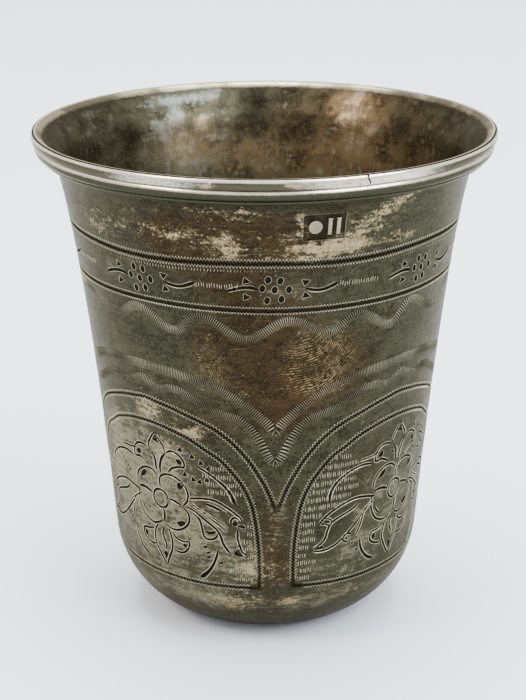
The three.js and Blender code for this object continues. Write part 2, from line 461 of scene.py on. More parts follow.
def spaced(line: Array, step: float) -> Array:
    """The points of a line at even steps."""
    length = travelled(line)
    count = max(2, round(length[-1] / step))
    at = np.linspace(0, length[-1], count + 1)
    return np.column_stack([np.interp(at, length, line[:, 0]), np.interp(at, length, line[:, 1])])


def round_cup(extremes: list[Point], step: float, start: float = -REACH, end: float = REACH) -> Array:
    """A line that waves round the cup between high and low points given as angle and height.

    Between neighbours the height follows half a cosine.

    Args:
        extremes: Points over one turn, by growing angle.
        step: Degrees between points of the result.
        start: First angle, by default that of a line that runs on past a whole turn.
        end: Last angle.
    """
    knots = np.array(extremes)
    knots = np.vstack([knots - [360, 0], knots, knots + [360, 0]])
    angle = np.arange(round((end - start) / step) + 1) * step + start
    span = np.clip(np.searchsorted(knots[:, 0], angle, side="right") - 1, 0, len(knots) - 2)
    left, right = knots[span], knots[span + 1]
    share = (1 - np.cos(np.pi * (angle - left[:, 0]) / (right[:, 0] - left[:, 0]))) / 2
    return np.column_stack([angle * PLANE, left[:, 1] + (right[:, 1] - left[:, 1]) * share])


@dataclass
class Engraving:
    """Cuts drawn on the unrolled wall: x is the angle times PLANE and z the height, both in mm.

    Each point is a row of x, z, depth in mm (below 0 where metal is thrown up), CUT, BURR_AND_HIGHLIGHT, and 1 where it
    belongs to a line that runs on past a whole turn.
    """

    form: BeakerForm
    points: list[Array] = field(default_factory=list)
    edges: list[Array] = field(default_factory=list)
    count: int = 0

    def add(self, x: Array, z: Array, depth: Array, cut: Array, burr: Array, edges: Array,
            ring: bool = False) -> None:
        """Adds points, whose arrays fit the shape of `x`, and the edges between them, counted within them."""
        values = (x, z, depth, cut, burr, float(ring))
        columns = [np.broadcast_to(value, np.shape(x)).ravel() for value in values]
        self.points.append(np.column_stack(columns))
        self.edges.append(np.asarray(edges).reshape(-1, 2) + self.count)
        self.count += len(columns[0])

    def rails(self, line: Array, offsets: Array, depth: Array, cut: Array, burr: Array,
              loop: bool = False, rungs: bool = False, ring: bool = False) -> None:
        """Rows of points beside a line, joined along each row.

        Args:
            line: Rows of x and z.
            offsets: How far each row lies to the left of the line, mm, as rows x stations.
            depth: Depth, of the same shape or one value per row.
            cut: Mark of the same shape.
            burr: Mark of the same shape.
            loop: Whether the line is closed, its last point being its first.
            rungs: Whether the rows are joined across at each station.
            ring: Whether the line runs round the cup and past a whole turn.
        """
        if loop:
            line = line[:-1]
        stretch = self.form.radius(line[:, 1]) / PLANE_RADIUS
        ahead = np.roll(line, -1, axis=0) - line
        back = line - np.roll(line, 1, axis=0)
        if not loop:
            ahead[-1] = back[-1]
            back[0] = ahead[0]
        way = (ahead + back) * np.column_stack([stretch, np.ones(len(line))])
        way /= np.maximum(np.hypot(way[:, 0], way[:, 1]), 1e-9)[:, None]
        offsets = np.broadcast_to(offsets, (len(offsets), len(line)))
        x = line[:, 0] - way[:, 1] * offsets / stretch
        z = line[:, 1] + way[:, 0] * offsets
        rows, stations = x.shape
        index = np.arange(rows * stations).reshape(rows, stations)
        edges = [np.stack([index[:, :-1], index[:, 1:]], -1).reshape(-1, 2)]
        if loop:
            edges.append(np.stack([index[:, -1], index[:, 0]], -1))
        across = index if rungs else index[:, [0, -1]]
        if rungs or not loop:
            edges.append(np.stack([across[:-1], across[1:]], -1).reshape(-1, 2))
        self.add(x, z, depth, cut, burr, np.vstack(edges), ring)

    def stroke(self, points: Array, width: float, depth: float, fat: float = 0.0, burr: float = 0.7,
               burr_width: float = 0.1, step: float = 0.4) -> None:
        """A V-shaped cut along a curve, pointed at both ends, with a thin bright burr on each side.

        Args:
            points: Points that the curve passes through, rows of x and z.
            width: Width of the cut, mm.
            depth: Its depth, mm.
            fat: How much wider the cut grows towards its end, as a share.
            burr: Brightness of the burrs.
            burr_width: Their width, mm.
            step: Distance between stations, mm.
        """
        line = smooth(points, step)
        t = np.linspace(0, 1, len(line))
        length = step * (len(line) - 1)
        point = 0.7
        taper = np.clip(np.minimum(t, 1 - t) * length / point, 0, 1) ** 0.6
        swell = taper * (1 + fat * t ** 3)
        edge = width / 2 * swell
        foot = edge + burr_width * taper
        offsets = np.array([foot, edge, 0 * t, -edge, -foot])
        self.rails(line, offsets, depth * (column(0, RAISED, 1, RAISED, 0) * swell),
                   column(0, 0, 1.8, 0, 0) * np.ceil(taper), column(0, burr, 0, burr, 0) * taper)

    def wriggle(self, line: Array, half: float, tooth: float, cord: float = 0.14, gap: float = 0.4,
                ring: bool = False) -> None:
        """A rocked cut: a dark zigzag trench between two bright zigzag cords, which fade at open ends.

        Args:
            line: Points half a tooth apart.
            half: Distance from the middle of the trench to each cord.
            tooth: How far the zigzag swings each way.
            cord: Half the width of a cord.
            gap: Brightness of a cord between its teeth, as a share.
            ring: Whether the line runs round the cup and past a whole turn.
        """
        depth, shade = 0.13, 0.42
        station = np.arange(len(line))
        shine = 1.0 if ring else np.clip(np.minimum(station, station[::-1]) / 5 - 0.4, 0, 1)
        swing = tooth * (1 - 2 * (station % 2))
        middle = column(half + cord, half, half - cord, cord - half, -half, -half - cord)
        burr = (shine * column(0, 1, 0, 0, 0, 0) * np.where(swing > 0, 1, gap)
                + shine * column(0, 0, 0, 0, 1, 0) * np.where(swing < 0, 1, gap))
        self.rails(line, middle + swing, depth * column(0, -0.25, 1, 1, -0.25, 0),
                   shade * column(0, 0, 1, 1, 0, 0), burr, ring=ring)

    def ribbon(self, line: Array, width: float, shine: float = 1.0) -> None:
        """A broad rocked ribbon: fine ticks, bright and dark along its upper edge and fainter lower down.

        Its brightness comes and goes along the line as two slow waves.
        """
        tick = 1 - np.arange(len(line)) % 2
        none = 0.0 * tick
        place = line[:, 0] / PLANE_RADIUS
        fade = shine * (0.66 + 0.08 * np.sin(9 * place + 1) + 0.08 * np.sin(23 * place))
        upper = width / 2
        offsets = column(upper + 0.12, upper, 0.25 - upper, -upper)
        burr = fade * np.array([none, tick, 0.14 + 0.44 * tick, none])
        cut = np.array([none, 0.95 * (1 - tick), 0.15 * (1 - tick), none])
        self.rails(line, offsets, 0.07 * cut - 0.03 * burr, cut, burr, rungs=True, ring=True)

    def ticks(self, x: Array, z: Array, length: Array, width: float, lean: Array, shine: Array) -> None:
        """Short bright nicks, as thin lozenges with a raised spine.

        Args:
            x: Middles, mm.
            z: Middles, mm.
            length: Lengths, mm.
            width: Width, mm.
            lean: Turn from upright, radians, towards +x.
            shine: Brightness.
        """
        x, z, length, lean, shine = np.broadcast_arrays(x, z, length, lean, shine)
        across = column(0, -width / 2, 0, width / 2, 0, 0)
        along = column(0.5, 0, -0.5, 0, 0.36, -0.36) * length
        stretch = self.form.radius(z) / PLANE_RADIUS
        px = x + (across * np.cos(lean) + along * np.sin(lean)) / stretch
        pz = z + along * np.cos(lean) - across * np.sin(lean)
        burr = column(0, 0, 0, 0, 1, 1) * shine
        index = np.arange(px.size).reshape(px.shape)
        pairs = [(0, 1), (1, 2), (2, 3), (3, 0), (0, 4), (4, 5), (5, 2)]
        edges = np.vstack([np.column_stack([index[a], index[b]]) for a, b in pairs])
        self.add(px, pz, -0.05 * burr, 0.0, burr, edges)

    def pit(self, outline: Array, step: float = 0.35, burr: float = 0.75, smoothed: bool = True) -> None:
        """A dark scooped spot with a bright edge all round it.

        Args:
            outline: Corner points that run anticlockwise.
            step: Distance between points, mm.
            burr: Brightness of the edge.
            smoothed: Whether the outline is rounded, or keeps its corners.
        """
        closed = np.vstack([outline, outline[:1]])
        line = smooth(outline, step, loop=True) if smoothed else spaced(closed, step)
        depth = 0.14
        self.rails(line, column(-0.1, 0, 0.08), depth * column(0, RAISED, 1), column(0, 0, 1.4),
                   burr * column(0, 1, 0), loop=True)

    def oval(self, x: float, z: float, width: float, height: float, lean: float = 0.0) -> None:
        """A dark oval pit at a place, leaning by an angle in radians."""
        turn = np.arange(8) * TURN / 8
        across, up = width / 2 * np.cos(turn), height / 2 * np.sin(turn)
        outline = np.column_stack([x + across * math.cos(lean) - up * math.sin(lean),
                                   z + across * math.sin(lean) + up * math.cos(lean)])
        self.pit(outline, step=0.28)

    def wedge(self, x: float, z: float, size: float, point: float) -> None:
        """A dark triangular pit whose tip points by an angle in radians from upright, towards -x."""
        turn = point + np.arange(3) * TURN / 3 + TURN / 4
        self.pit(np.column_stack([x + size / 2 * np.cos(turn), z + size / 2 * np.sin(turn)]), smoothed=False)


# ---------------------------------------------------------------------- the ornament


class Side(Enum):
    """Which way a spray's leaf is drawn from its flower."""

    LEFT = -1
    RIGHT = 1


@dataclass(frozen=True)
class Panels:
    """Where the four arched panels stand, in degrees, and their border's half-outline."""

    count: int = 4
    first_axis: float = -41.4
    flower_shift: float = 2.4
    border: tuple[Point, ...] = (
        (0, 32.5), (6.5, 32.3), (12, 31.8), (17, 31.1), (22, 29.9), (26.5, 28.8), (31, 26.8), (34, 25),
        (36.3, 22.8), (37.6, 20.4), (38.5, 17.6), (39, 14.6), (39, 12), (38.9, 9.8))
    arch: tuple[Point, ...] = (
        (0, 35.9), (6, 35.6), (11, 35.2), (16, 34.6), (21, 33.9), (26, 32.9), (31, 31.3), (36, 28.9),
        (39, 26.9), (41.5, 25), (43.5, 22.9), (44.8, 21.5))

    @property
    def pitch(self) -> float:
        """Degrees from one panel to the next."""
        return 360 / self.count

    def axes(self) -> list[float]:
        """Middles of the panels, degrees."""
        return [self.first_axis + self.pitch * number for number in range(-1, self.count - 1)]

    def half_width(self, z: Array) -> Array:
        """Half the width of a panel inside its border at heights, degrees."""
        outline = np.array(self.border)[::-1]
        return np.interp(z, outline[:, 1], outline[:, 0])

    def outline(self, axis: float, half: tuple[Point, ...]) -> Array:
        """Points of a symmetrical outline round an axis, on the plane, from left to right."""
        right = np.array(half)
        left = right[:0:-1] * [-1, 1]
        return (np.vstack([left, right]) + [axis, 0]) * [PLANE, 1]


@dataclass
class Ornament:
    """Everything that is engraved on the wall, drawn in the order a graver would set it out."""

    form: BeakerForm
    panels: Panels = Panels()
    teeth: int = 392
    seed: int = 84

    def draw(self) -> Engraving:
        """Draws all the ornament and returns it."""
        work = Engraving(self.form)
        dice = np.random.default_rng(self.seed)
        self._bands(work, dice)
        self._band_motifs(work, dice)
        self._ribbons(work)
        for axis in self.panels.axes():
            self._panel(work, axis, dice)
        self._punch(work)
        return work

    def _bands(self, work: Engraving, dice: np.random.Generator) -> None:
        """The two rocked rings, with a row of long nicks under the upper one."""
        step = 180 / self.teeth
        upper = [(-170, 56.4), (-120, 56.1), (-70, 56.5), (-35, 56.1), (0, 56.4), (20, 56.2), (55, 56.7),
                 (120, 56.3)]
        lower = [(-150, 50.2), (-90, 50.0), (-40, 50.2), (5, 50.0), (60, 50.2), (120, 50.0)]
        work.wriggle(round_cup(upper, step), 0.37, 0.21, 0.17, ring=True)
        work.wriggle(round_cup(lower, step), 0.33, 0.12, 0.15, ring=True)
        angle = np.arange(-180, 180, 360 / self.teeth) + dice.normal(0, 0.08, self.teeth)
        faint = 0.5 + 0.45 * np.sin(np.radians(4 * angle + 185)) + dice.normal(0, 0.1, self.teeth)
        line = round_cup(upper, 360 / self.teeth, -180, 180)[:-1, 1]
        work.ticks(angle * PLANE, line - 0.98, 0.55, 0.13, 0.12, np.clip(faint, 0.1, 0.9))

    def _band_motifs(self, work: Engraving, dice: np.random.Generator) -> None:
        """Eight small sprigs between the rings: a cluster of ovals, two leafy strokes, wedges and nicks."""
        ovals = [(-3.9, 0.2), (-2.2, 1.4), (-2.3, -1.4), (-0.5, 0), (1.1, 1.2), (0.9, -1.2), (3.4, 0.05)]
        wedges = [(-8.4, 1.2, 0.3), (-8.4, -0.95, 2.6), (7.9, 0.95, 3.0), (8.1, -0.85, 0.2)]
        leaves = (np.array([(-14.6, -0.4), (-11.5, 0.1), (-8, 0.35), (-4.9, 0.1)]),
                  np.array([(7.6, 0.15), (10.5, -0.2), (13.5, -0.15), (17.8, 0.65)]))
        stray = {-1: 4.8, 1: 2.5}
        first, pitch, height, nicks = 3.2, 45, 52.95, 18
        for number in range(-4, 4):
            middle = first + pitch * number + stray.get(number, 0.0)
            lean = dice.normal(0, 0.12)
            base = height + dice.normal(0, 0.1)
            for angle, rise in ovals:
                x = (middle + angle + dice.normal(0, 0.15)) * PLANE
                work.oval(x, base + rise + dice.normal(0, 0.05), 0.68, 1.05, lean)
            for points in leaves:
                work.stroke((points + [middle, base]) * [PLANE, 1], 0.5, 0.16, fat=0.3, step=0.35)
            for angle, rise, point in wedges:
                work.wedge((middle + angle) * PLANE, base + rise, 1.15, point)
            angle = middle + np.linspace(17.2, 29.4, nicks) + dice.normal(0, 0.1, nicks)
            z = base + 0.35 + dice.normal(0, 0.06, nicks)
            work.ticks(angle * PLANE, z, 0.95, 0.14, dice.normal(0, 0.1, nicks), 0.9)

    def _ribbons(self, work: Engraving) -> None:
        """Three ticked ribbons: a rippled one, a scalloped one and one that sways below the scallops."""
        step, reach_of_mean, axis = 0.27, 4, 3.0
        rippled = [(-62, 48.6), (-51, 46.5), (-40, 48.7), (-27.5, 46.4), (-19, 48.6), (-5.5, 46.0), (7, 48.4),
                   (19, 46.5), (28, 48.4), (39.5, 46.2), (48, 48.7), (61, 46.4)]
        behind = [(-17, 48.6), (-5.5, 46.1), (7, 48.4), (18, 46.4), (28.5, 48.5), (39, 46.3), (49.5, 48.6),
                  (61, 46.3)]
        rippled += [(angle + quarter, z) for quarter in (90, 180) for angle, z in behind]
        work.ribbon(round_cup(rippled, step), 1.4)
        scallop = [(0, 32.7), (2.4, 34.1), (7.5, 36.0), (12.5, 37.5), (17.5, 38.7), (25, 39.7), (33, 40.3),
                   (45, 40.6)]
        sway = [(0, 28.4), (2.5, 29.3), (5, 31.6), (8, 33.4), (11, 34.6), (15, 35.1), (20, 35.7), (25, 36.8),
                (30, 37.8), (34, 38.0), (38, 37.5), (41, 38.0), (45, 38.7)]
        for half, width, shine in ((scallop, 1.5, 0.95), (sway, 1.35, 0.9)):
            heights = np.array(half)
            angle = np.arange(-REACH, REACH, step)
            away = np.abs((angle - axis + 45) % 90 - 45)
            z = np.interp(away, heights[:, 0], heights[:, 1])
            mean = np.ones(2 * reach_of_mean + 1) / (2 * reach_of_mean + 1)
            z = np.convolve(np.pad(z, reach_of_mean, mode="edge"), mean, mode="valid")
            work.ribbon(np.column_stack([angle * PLANE, z]), width, shine)

    def _panel(self, work: Engraving, axis: float, dice: np.random.Generator) -> None:
        """One panel: arch, border, base line, ground of nicks, flower and the leaves at its sides."""
        panels = self.panels
        half_tooth = 0.225
        for half_outline in (panels.arch, panels.border):
            work.wriggle(smooth(panels.outline(axis, half_outline), half_tooth), 0.3, 0.17, gap=0.55)
        foot = np.array([(-38.4, 10.1), (-20, 9.9), (0, 9.85), (20, 9.8), (38.6, 9.95)])
        work.wriggle(smooth((foot + [axis, 0]) * [PLANE, 1], half_tooth), 0.29, 0.14, gap=0.5)
        shift = (axis + panels.flower_shift) * PLANE
        Flower(work, shift).draw()
        FullLeaf(work, shift, Side.RIGHT).draw()
        SplitLeaf(work, shift, Side.LEFT).draw()
        self._ground(work, axis, shift, dice)

    def _ground(self, work: Engraving, axis: float, shift: float, dice: np.random.Generator) -> None:
        """Rows of fine upright nicks that fill the panel between its border and its leaves."""
        rise, pitch, margin = 1.15, 0.3, 0.62
        rows = [(Side.LEFT, z, 8.6 if z > 21.5 else 13.3 if z > 17.5 else 14.6)
                for z in np.arange(11.2, 28.6, rise)]
        rows += [(Side.RIGHT, z, 11.2 if z < 13.5 else 12.9) for z in np.arange(11.2, 19.5, rise)]
        rows += [(Side.RIGHT, z, 8.4) for z in np.arange(24.0, 28.2, rise)]
        for side, z, inner in rows:
            outer = (self.panels.half_width(z) * PLANE - margin) + side.value * (axis * PLANE - shift)
            x = np.arange(inner + dice.uniform(-1.8, 0.1), outer, pitch)
            if len(x) < 2:
                continue
            x = x + dice.normal(0, 0.04, len(x))
            shine = np.clip(dice.normal(0.74, 0.08, len(x)), 0.5, 1)
            height = z + dice.normal(0, 0.05, len(x))
            length = dice.uniform(0.85, 1.1, len(x))
            work.ticks(shift + side.value * x, height, length, 0.18, dice.normal(0, 0.06, len(x)), shine)

    def _punch(self, work: Engraving) -> None:
        """A struck oblong with a raised boss and two raised bars."""
        punch = Punch(work)
        punch.sunk_oblong()
        punch.raised(punch.circle(-1.15, 1.0))
        for left in (0.35, 1.45):
            punch.raised(punch.oblong(left, left + 0.7, -1.2, 1.2))


@dataclass
class Punch:
    """A struck mark with a generic device. Its shapes are in mm from its middle."""

    work: Engraving
    angle: float = 15.5
    z: float = 61.0
    width: float = 5.4
    height: float = 3.4
    sunk: float = 0.2

    def circle(self, x: float, radius: float) -> Array:
        """Points round a circle at a distance along the mark."""
        turn = np.arange(16) * TURN / 16
        return np.column_stack([x + radius * np.cos(turn), radius * np.sin(turn)])

    def oblong(self, left: float, right: float, low: float, high: float) -> Array:
        """Corners of an oblong, anticlockwise."""
        return np.array([(left, low), (right, low), (right, high), (left, high)])

    def sunk_oblong(self) -> None:
        """The struck ground with its steep sides."""
        outline = self.oblong(-self.width / 2, self.width / 2, -self.height / 2, self.height / 2)
        self._rings(outline, (-0.1, 0.0, 0.16), (0, -0.03, self.sunk), (0, 0, 0.36), (0, 0.5, 0))

    def raised(self, outline: Array) -> None:
        """A shape that stands up from the struck ground."""
        self._rings(outline, (0.0, 0.14), (self.sunk, 0.03), (0.36, 0), (0, 0.55))

    def _rings(self, outline: Array, walls: tuple[float, ...], depths: tuple[float, ...],
               cut: tuple[float, ...], burr: tuple[float, ...]) -> None:
        """Rings inside an outline, with a depth and two marks for each."""
        stretch = self.work.form.radius(self.z) / PLANE_RADIUS
        placed = outline / [stretch, 1] + [self.angle * PLANE, self.z]
        line = spaced(np.vstack([placed, placed[:1]]), 0.3)
        self.work.rails(line, *(column(*values) for values in (walls, depths, cut, burr)), loop=True)


@dataclass
class Spray:
    """Part of a flower spray, drawn in mm from the flower's axis, which is at x = `shift` on the plane."""

    work: Engraving
    shift: float
    side: Side = Side.RIGHT

    def at(self, points: Sequence[Point]) -> Array:
        """Points of the spray on the plane, mirrored on the left side."""
        return np.array(points) * [self.side.value, 1] + [self.shift, 0]

    def line(self, *points: Point, width: float = 0.32, fat: float = 0.0) -> None:
        """A cut through points, a little wider than drawn, whose depth is a share of its width."""
        width = 1.3 * width
        self.work.stroke(self.at(points), width, 0.38 * width, fat, burr=0.9)

    def hatch(self, start: Point, end: Point, run: Point) -> None:
        """Four fine cuts side by side: their tops lie between two points, and each runs on by `run`."""
        for share in np.linspace(0, 1, 4):
            top = np.array(start) + share * (np.array(end) - np.array(start))
            foot = top + np.array(run) * (1 - 0.35 * share)
            self.work.stroke(self.at((top, foot)), 0.22, 0.08, burr=0.65, burr_width=0.07)

    def spot(self, *points: Point) -> None:
        """A dark filled shape with rounded corners."""
        outline = self.at(points)
        if self._turns_clockwise(outline):
            outline = outline[::-1]
        self.work.pit(outline, step=0.3, burr=0.6)

    def wedges(self, places: list[Point], size: float) -> None:
        """Dark triangles that point up."""
        for number, (x, z) in enumerate(self.at(places)):
            self.work.wedge(x, z, size, 0.25 * self.side.value * (number % 3 - 1))

    @staticmethod
    def _turns_clockwise(outline: Array) -> bool:
        """Whether the outline's signed area is below 0."""
        after = np.roll(outline, -1, axis=0)
        return float(np.sum(outline[:, 0] * after[:, 1] - after[:, 0] * outline[:, 1])) < 0


@dataclass
class Flower(Spray):
    """The flower: a disc, four lobed petals, a bud with curled sepals above it and another below it."""

    def draw(self) -> None:
        """Draws the flower."""
        turn = np.arange(0, 13) * TURN / 12
        disc = np.column_stack([1.3 * np.cos(turn), 21.3 + 1.35 * np.sin(turn)])
        self.line(*disc, width=0.34)
        self._petals()
        self._upper_bud()
        self._lower_bud()

    def _petals(self) -> None:
        """Four petals, the creases between them and the shadow at each tip."""
        self.line((0.1, 22.8), (0.1, 24.4), (1.2, 25.2), (2.6, 25.2), (3.9, 24.5), (4.6, 23.2), (4.4, 21.9),
                  (3.6, 21))
        self.line((3.6, 21), (4.5, 20), (4.4, 18.6), (3.3, 17.5), (1.8, 17.1), (0.5, 17.6))
        self.line((0, 24.4), (-1.2, 25.3), (-2.7, 25.2), (-4, 24.2), (-4.4, 23), (-4.3, 22))
        self.line((-4.4, 21.7), (-4.5, 19.9), (-3.6, 18), (-2, 17.2), (-0.8, 17.5), (0.1, 18))
        self.line((1.3, 21.6), (2.4, 21.5), (3.6, 21), width=0.36)
        self.line((0.3, 20), (0.45, 19), (0.3, 17.8), width=0.42)
        self.line((-4.2, 22), (-2.9, 22.2), (-1.3, 21.7), width=0.42)
        self.line((-3.9, 19.9), (-3.3, 18.9), (-2.7, 18.4), width=0.34)
        self.spot((3, 24.3), (3.8, 24.5), (4, 23.9), (3.2, 23.4))
        self.spot((2.4, 18.3), (3.5, 18.8), (4, 18.5), (3.1, 17.8))
        self.spot((-3.6, 23.6), (-2.6, 24), (-2.2, 24.8), (-3, 24.7))
        self.hatch((1.2, 24.7), (2.7, 24.2), (-0.3, -1.1))
        self.hatch((1.1, 17.8), (2.3, 18.5), (-0.1, 1))
        self.hatch((-1.5, 24.6), (-3.2, 22.9), (0.5, -0.9))
        self.hatch((-3.4, 20.6), (-2, 18.6), (0.7, 0.5))

    def _upper_bud(self) -> None:
        """A pointed bud between two curled sepals."""
        self.line((0.1, 31.2), (0.5, 30.3), (1.2, 29.4), (1.5, 28.4))
        self.line((0.1, 31.2), (-0.7, 30.2), (-1.3, 29.2), (-1.4, 28.3))
        self.spot((0.1, 30.7), (-0.6, 29.9), (0.2, 29.7), (0.7, 29.5))
        self.line((1.5, 28.4), (0.7, 27.3), (0.35, 26), (0.4, 25.1), width=0.4)
        self.line((1.5, 28.4), (2.5, 28.9), (3.7, 28.5), (4.3, 27.7), (4.3, 26.9), (3.4, 26.8), (2.3, 26.3),
                  (1.6, 25.4))
        self.spot((3.1, 27.9), (3.8, 27.9), (4, 27.3), (3.4, 27.2))
        self.line((-1.5, 28.3), (-2.4, 28.7), (-3.6, 28.5), (-4.4, 27.5), (-4.3, 26.5), (-3.2, 26.6),
                  (-1.8, 25.9))
        self.spot((-4, 27.3), (-3.2, 27.9), (-3, 27.2), (-3.6, 26.9))
        self.line((-0.9, 28), (-0.4, 27), (-0.35, 26), (-0.2, 25.4), width=0.42)
        self.spot((-1.6, 27.3), (-0.9, 27.2), (-1, 26.8))

    def _lower_bud(self) -> None:
        """A hanging bud between two curled sepals."""
        self.line((-0.9, 17.3), (-1.6, 16), (-1.7, 14.4), (-1, 12.9), (0.1, 11.2))
        self.line((0.9, 17.1), (1.4, 15.6), (1.3, 13.9), (0.7, 12.6), (0.1, 11.2))
        self.line((0.1, 17), (-0.2, 15.8), (0.3, 14.6), (0.2, 13.6), width=0.36)
        self.line((-1.7, 16.4), (-2.9, 16), (-4, 15.8), (-4.2, 14.8), (-3.4, 14.1), (-2.2, 13.8),
                  (-1.6, 14.2))
        self.line((1.5, 16.6), (2.4, 15.8), (3.6, 15.6), (4.3, 15.8), (4.1, 14.8), (3.4, 14), (2.4, 13.8),
                  (1.5, 14))
        self.spot((3.4, 15.4), (4, 15.4), (3.9, 14.8), (3.2, 14.9))
        self.spot((-3.8, 15.5), (-3.2, 15.4), (-3.3, 14.7), (-3.9, 14.8))
        self.spot((-0.3, 13.2), (0.5, 13.2), (0.1, 12))


@dataclass
class FullLeaf(Spray):
    """The fuller leaf: a fan of long strokes with a curled tip, and sprigs above and below it."""

    def draw(self) -> None:
        """Draws the leaf."""
        self.line((4.6, 22.4), (6.9, 22.8), (8.5, 22.7), (10, 21.9), (11.1, 21.1), (11.9, 20.3),
                  (12.1, 19.7))
        self.line((6.9, 22.1), (8.2, 21.8), (9.4, 21.2), width=0.38)
        self.line((4.7, 22), (5.8, 21.3), (7, 20.5), (8.1, 19.7), (9.3, 18.8), (10.2, 17.8), width=0.24)
        self.line((4.2, 21.2), (5.7, 20.5), (7.1, 19.5), (8.3, 18.6), (9, 17.6), (9.3, 16.5), (9.9, 15.5),
                  (10.5, 14.8), width=0.34)
        self.line((4.7, 20.7), (5.7, 20), (6.2, 19.3), (6.4, 18.3), (6.6, 17.2), (7, 16.8), (7.7, 16.8),
                  (8.4, 17.2), (8.7, 17.9))
        self.spot((6.8, 18.1), (7.5, 18), (8.4, 18.2), (8.3, 17.8), (7.6, 17.5), (7, 17.7))
        self.line((4.9, 21.6), (6.6, 20.9), (8.1, 20.1), (9.5, 19.3), (10.4, 18.5), width=0.2)
        self.line((7.3, 22.4), (8.9, 22), (10.4, 21), width=0.2)
        self.line((10.5, 19.2), (10.6, 20.1), (11.1, 20.5), (11.7, 20.1), (11.8, 19.6))
        self.spot((10.8, 19.9), (11.4, 19.9), (11.4, 19.3), (10.9, 19.2))
        self.spot((11.5, 19.2), (12, 19.5), (12.6, 19.1), (12, 18.95))
        self.line((11.4, 18.8), (11.4, 17.5), (11.6, 16.5), (12, 15.4), (12.9, 14.6))
        self.spot((10.8, 14.9), (11.5, 15.8), (12, 14.8), (12.7, 14.5))
        self.line((6, 27.5), (7.1, 27), (8.4, 26.2), (9.5, 25.3), (10.4, 24.3), (10.9, 23.2), (11.2, 22.3),
                  fat=1)
        self.line((8.6, 15.4), (8.3, 14.2), (7.8, 13), (7.1, 11.9), (6.2, 11), (5.6, 10.6), fat=1.4)
        self.wedges([(3.9, 29.4), (5.6, 28.7), (6.8, 28), (7.8, 27.3), (4.4, 25.9), (5.6, 25.4),
                     (6.5, 25.2), (7.5, 25.6)], 1.1)
        for x, z in ((6.7, 15.5), (7.1, 14.7), (7.1, 14.0), (8.9, 13.4)):
            self.spot((x - 0.35, z - 0.2), (x + 0.3, z - 0.1), (x + 0.45, z + 0.25), (x - 0.1, z + 0.15))


@dataclass
class SplitLeaf(Spray):
    """The slimmer leaf: two pointed blades, a curl under them, an arc with nicks above and a hook below."""

    def draw(self) -> None:
        """Draws the leaf."""
        self.line((3.8, 21.3), (5.5, 21.7), (7.2, 21.9), (8.7, 21.6), (10.2, 21), (11.4, 20.3),
                  (12.1, 19.7), (12.8, 18.8), width=0.34)
        self.line((12.8, 18.8), (11.9, 19), (11.1, 18.6), (10.8, 19.1), (11.3, 19.7), (12, 19.7), width=0.26)
        self.spot((12.4, 19), (11.8, 19.5), (11, 19.3), (11.5, 19))
        self.line((6.6, 21.4), (7.3, 20.6), (8.6, 20), (9.9, 19.5), (10.9, 18.9), (11.4, 17.9),
                  (11.7, 16.8), (12.4, 16), (13.7, 15.3))
        self.line((3.7, 21.1), (4.7, 20.5), (5.8, 19.4), (7.1, 18), (8.3, 16.9), (9.4, 16), (10.4, 15.4),
                  (11.7, 15), (12.9, 15), (13.7, 15.3))
        self.spot((12.3, 15.8), (13.4, 15.3), (12.5, 15.2), (11.8, 15.4))
        self.line((3.8, 20.6), (4.9, 20.4), (5.7, 19.8), (6.7, 19), (7.3, 18.1), width=0.24)
        self.line((5.6, 20), (6.1, 18), (6.5, 17), (6.9, 16.3), (7.3, 16.1), width=0.28)
        self.line((7.3, 16.4), (8.2, 16.8), (8.9, 16.4), (8.8, 15.8), (7.9, 15.4), width=0.28)
        for x, z in ((8.4, 16.2), (7.4, 15.2), (6.6, 14.0)):
            self.work.oval(*self.at([(x, z)])[0], 0.5, 0.5)
        self.line((6.1, 15.6), (5.9, 14.3), (5.4, 13.3), (4.5, 12.3), (3.3, 11.7), width=0.36, fat=0.5)
        self.line((4.8, 26.4), (6.4, 26.6), (8, 26.3), (9.4, 25.6), (10.4, 24.8), (11, 23.8), (11.3, 22.8),
                  (11.3, 21.9), fat=0.8)
        self.line((3.7, 27.8), (5.1, 27.5), (6.5, 27.4), (7.4, 27.2), width=0.26)
        for x, z in ((8.2, 25.3), (7.7, 24.9), (7.2, 24.5), (6.7, 24.0), (6.2, 23.6)):
            self.line((x - 0.5, z + 0.45), (x, z), (x + 0.1, z - 0.35), width=0.3, fat=0.8)


# ---------------------------------------------------------------------- the engraved body


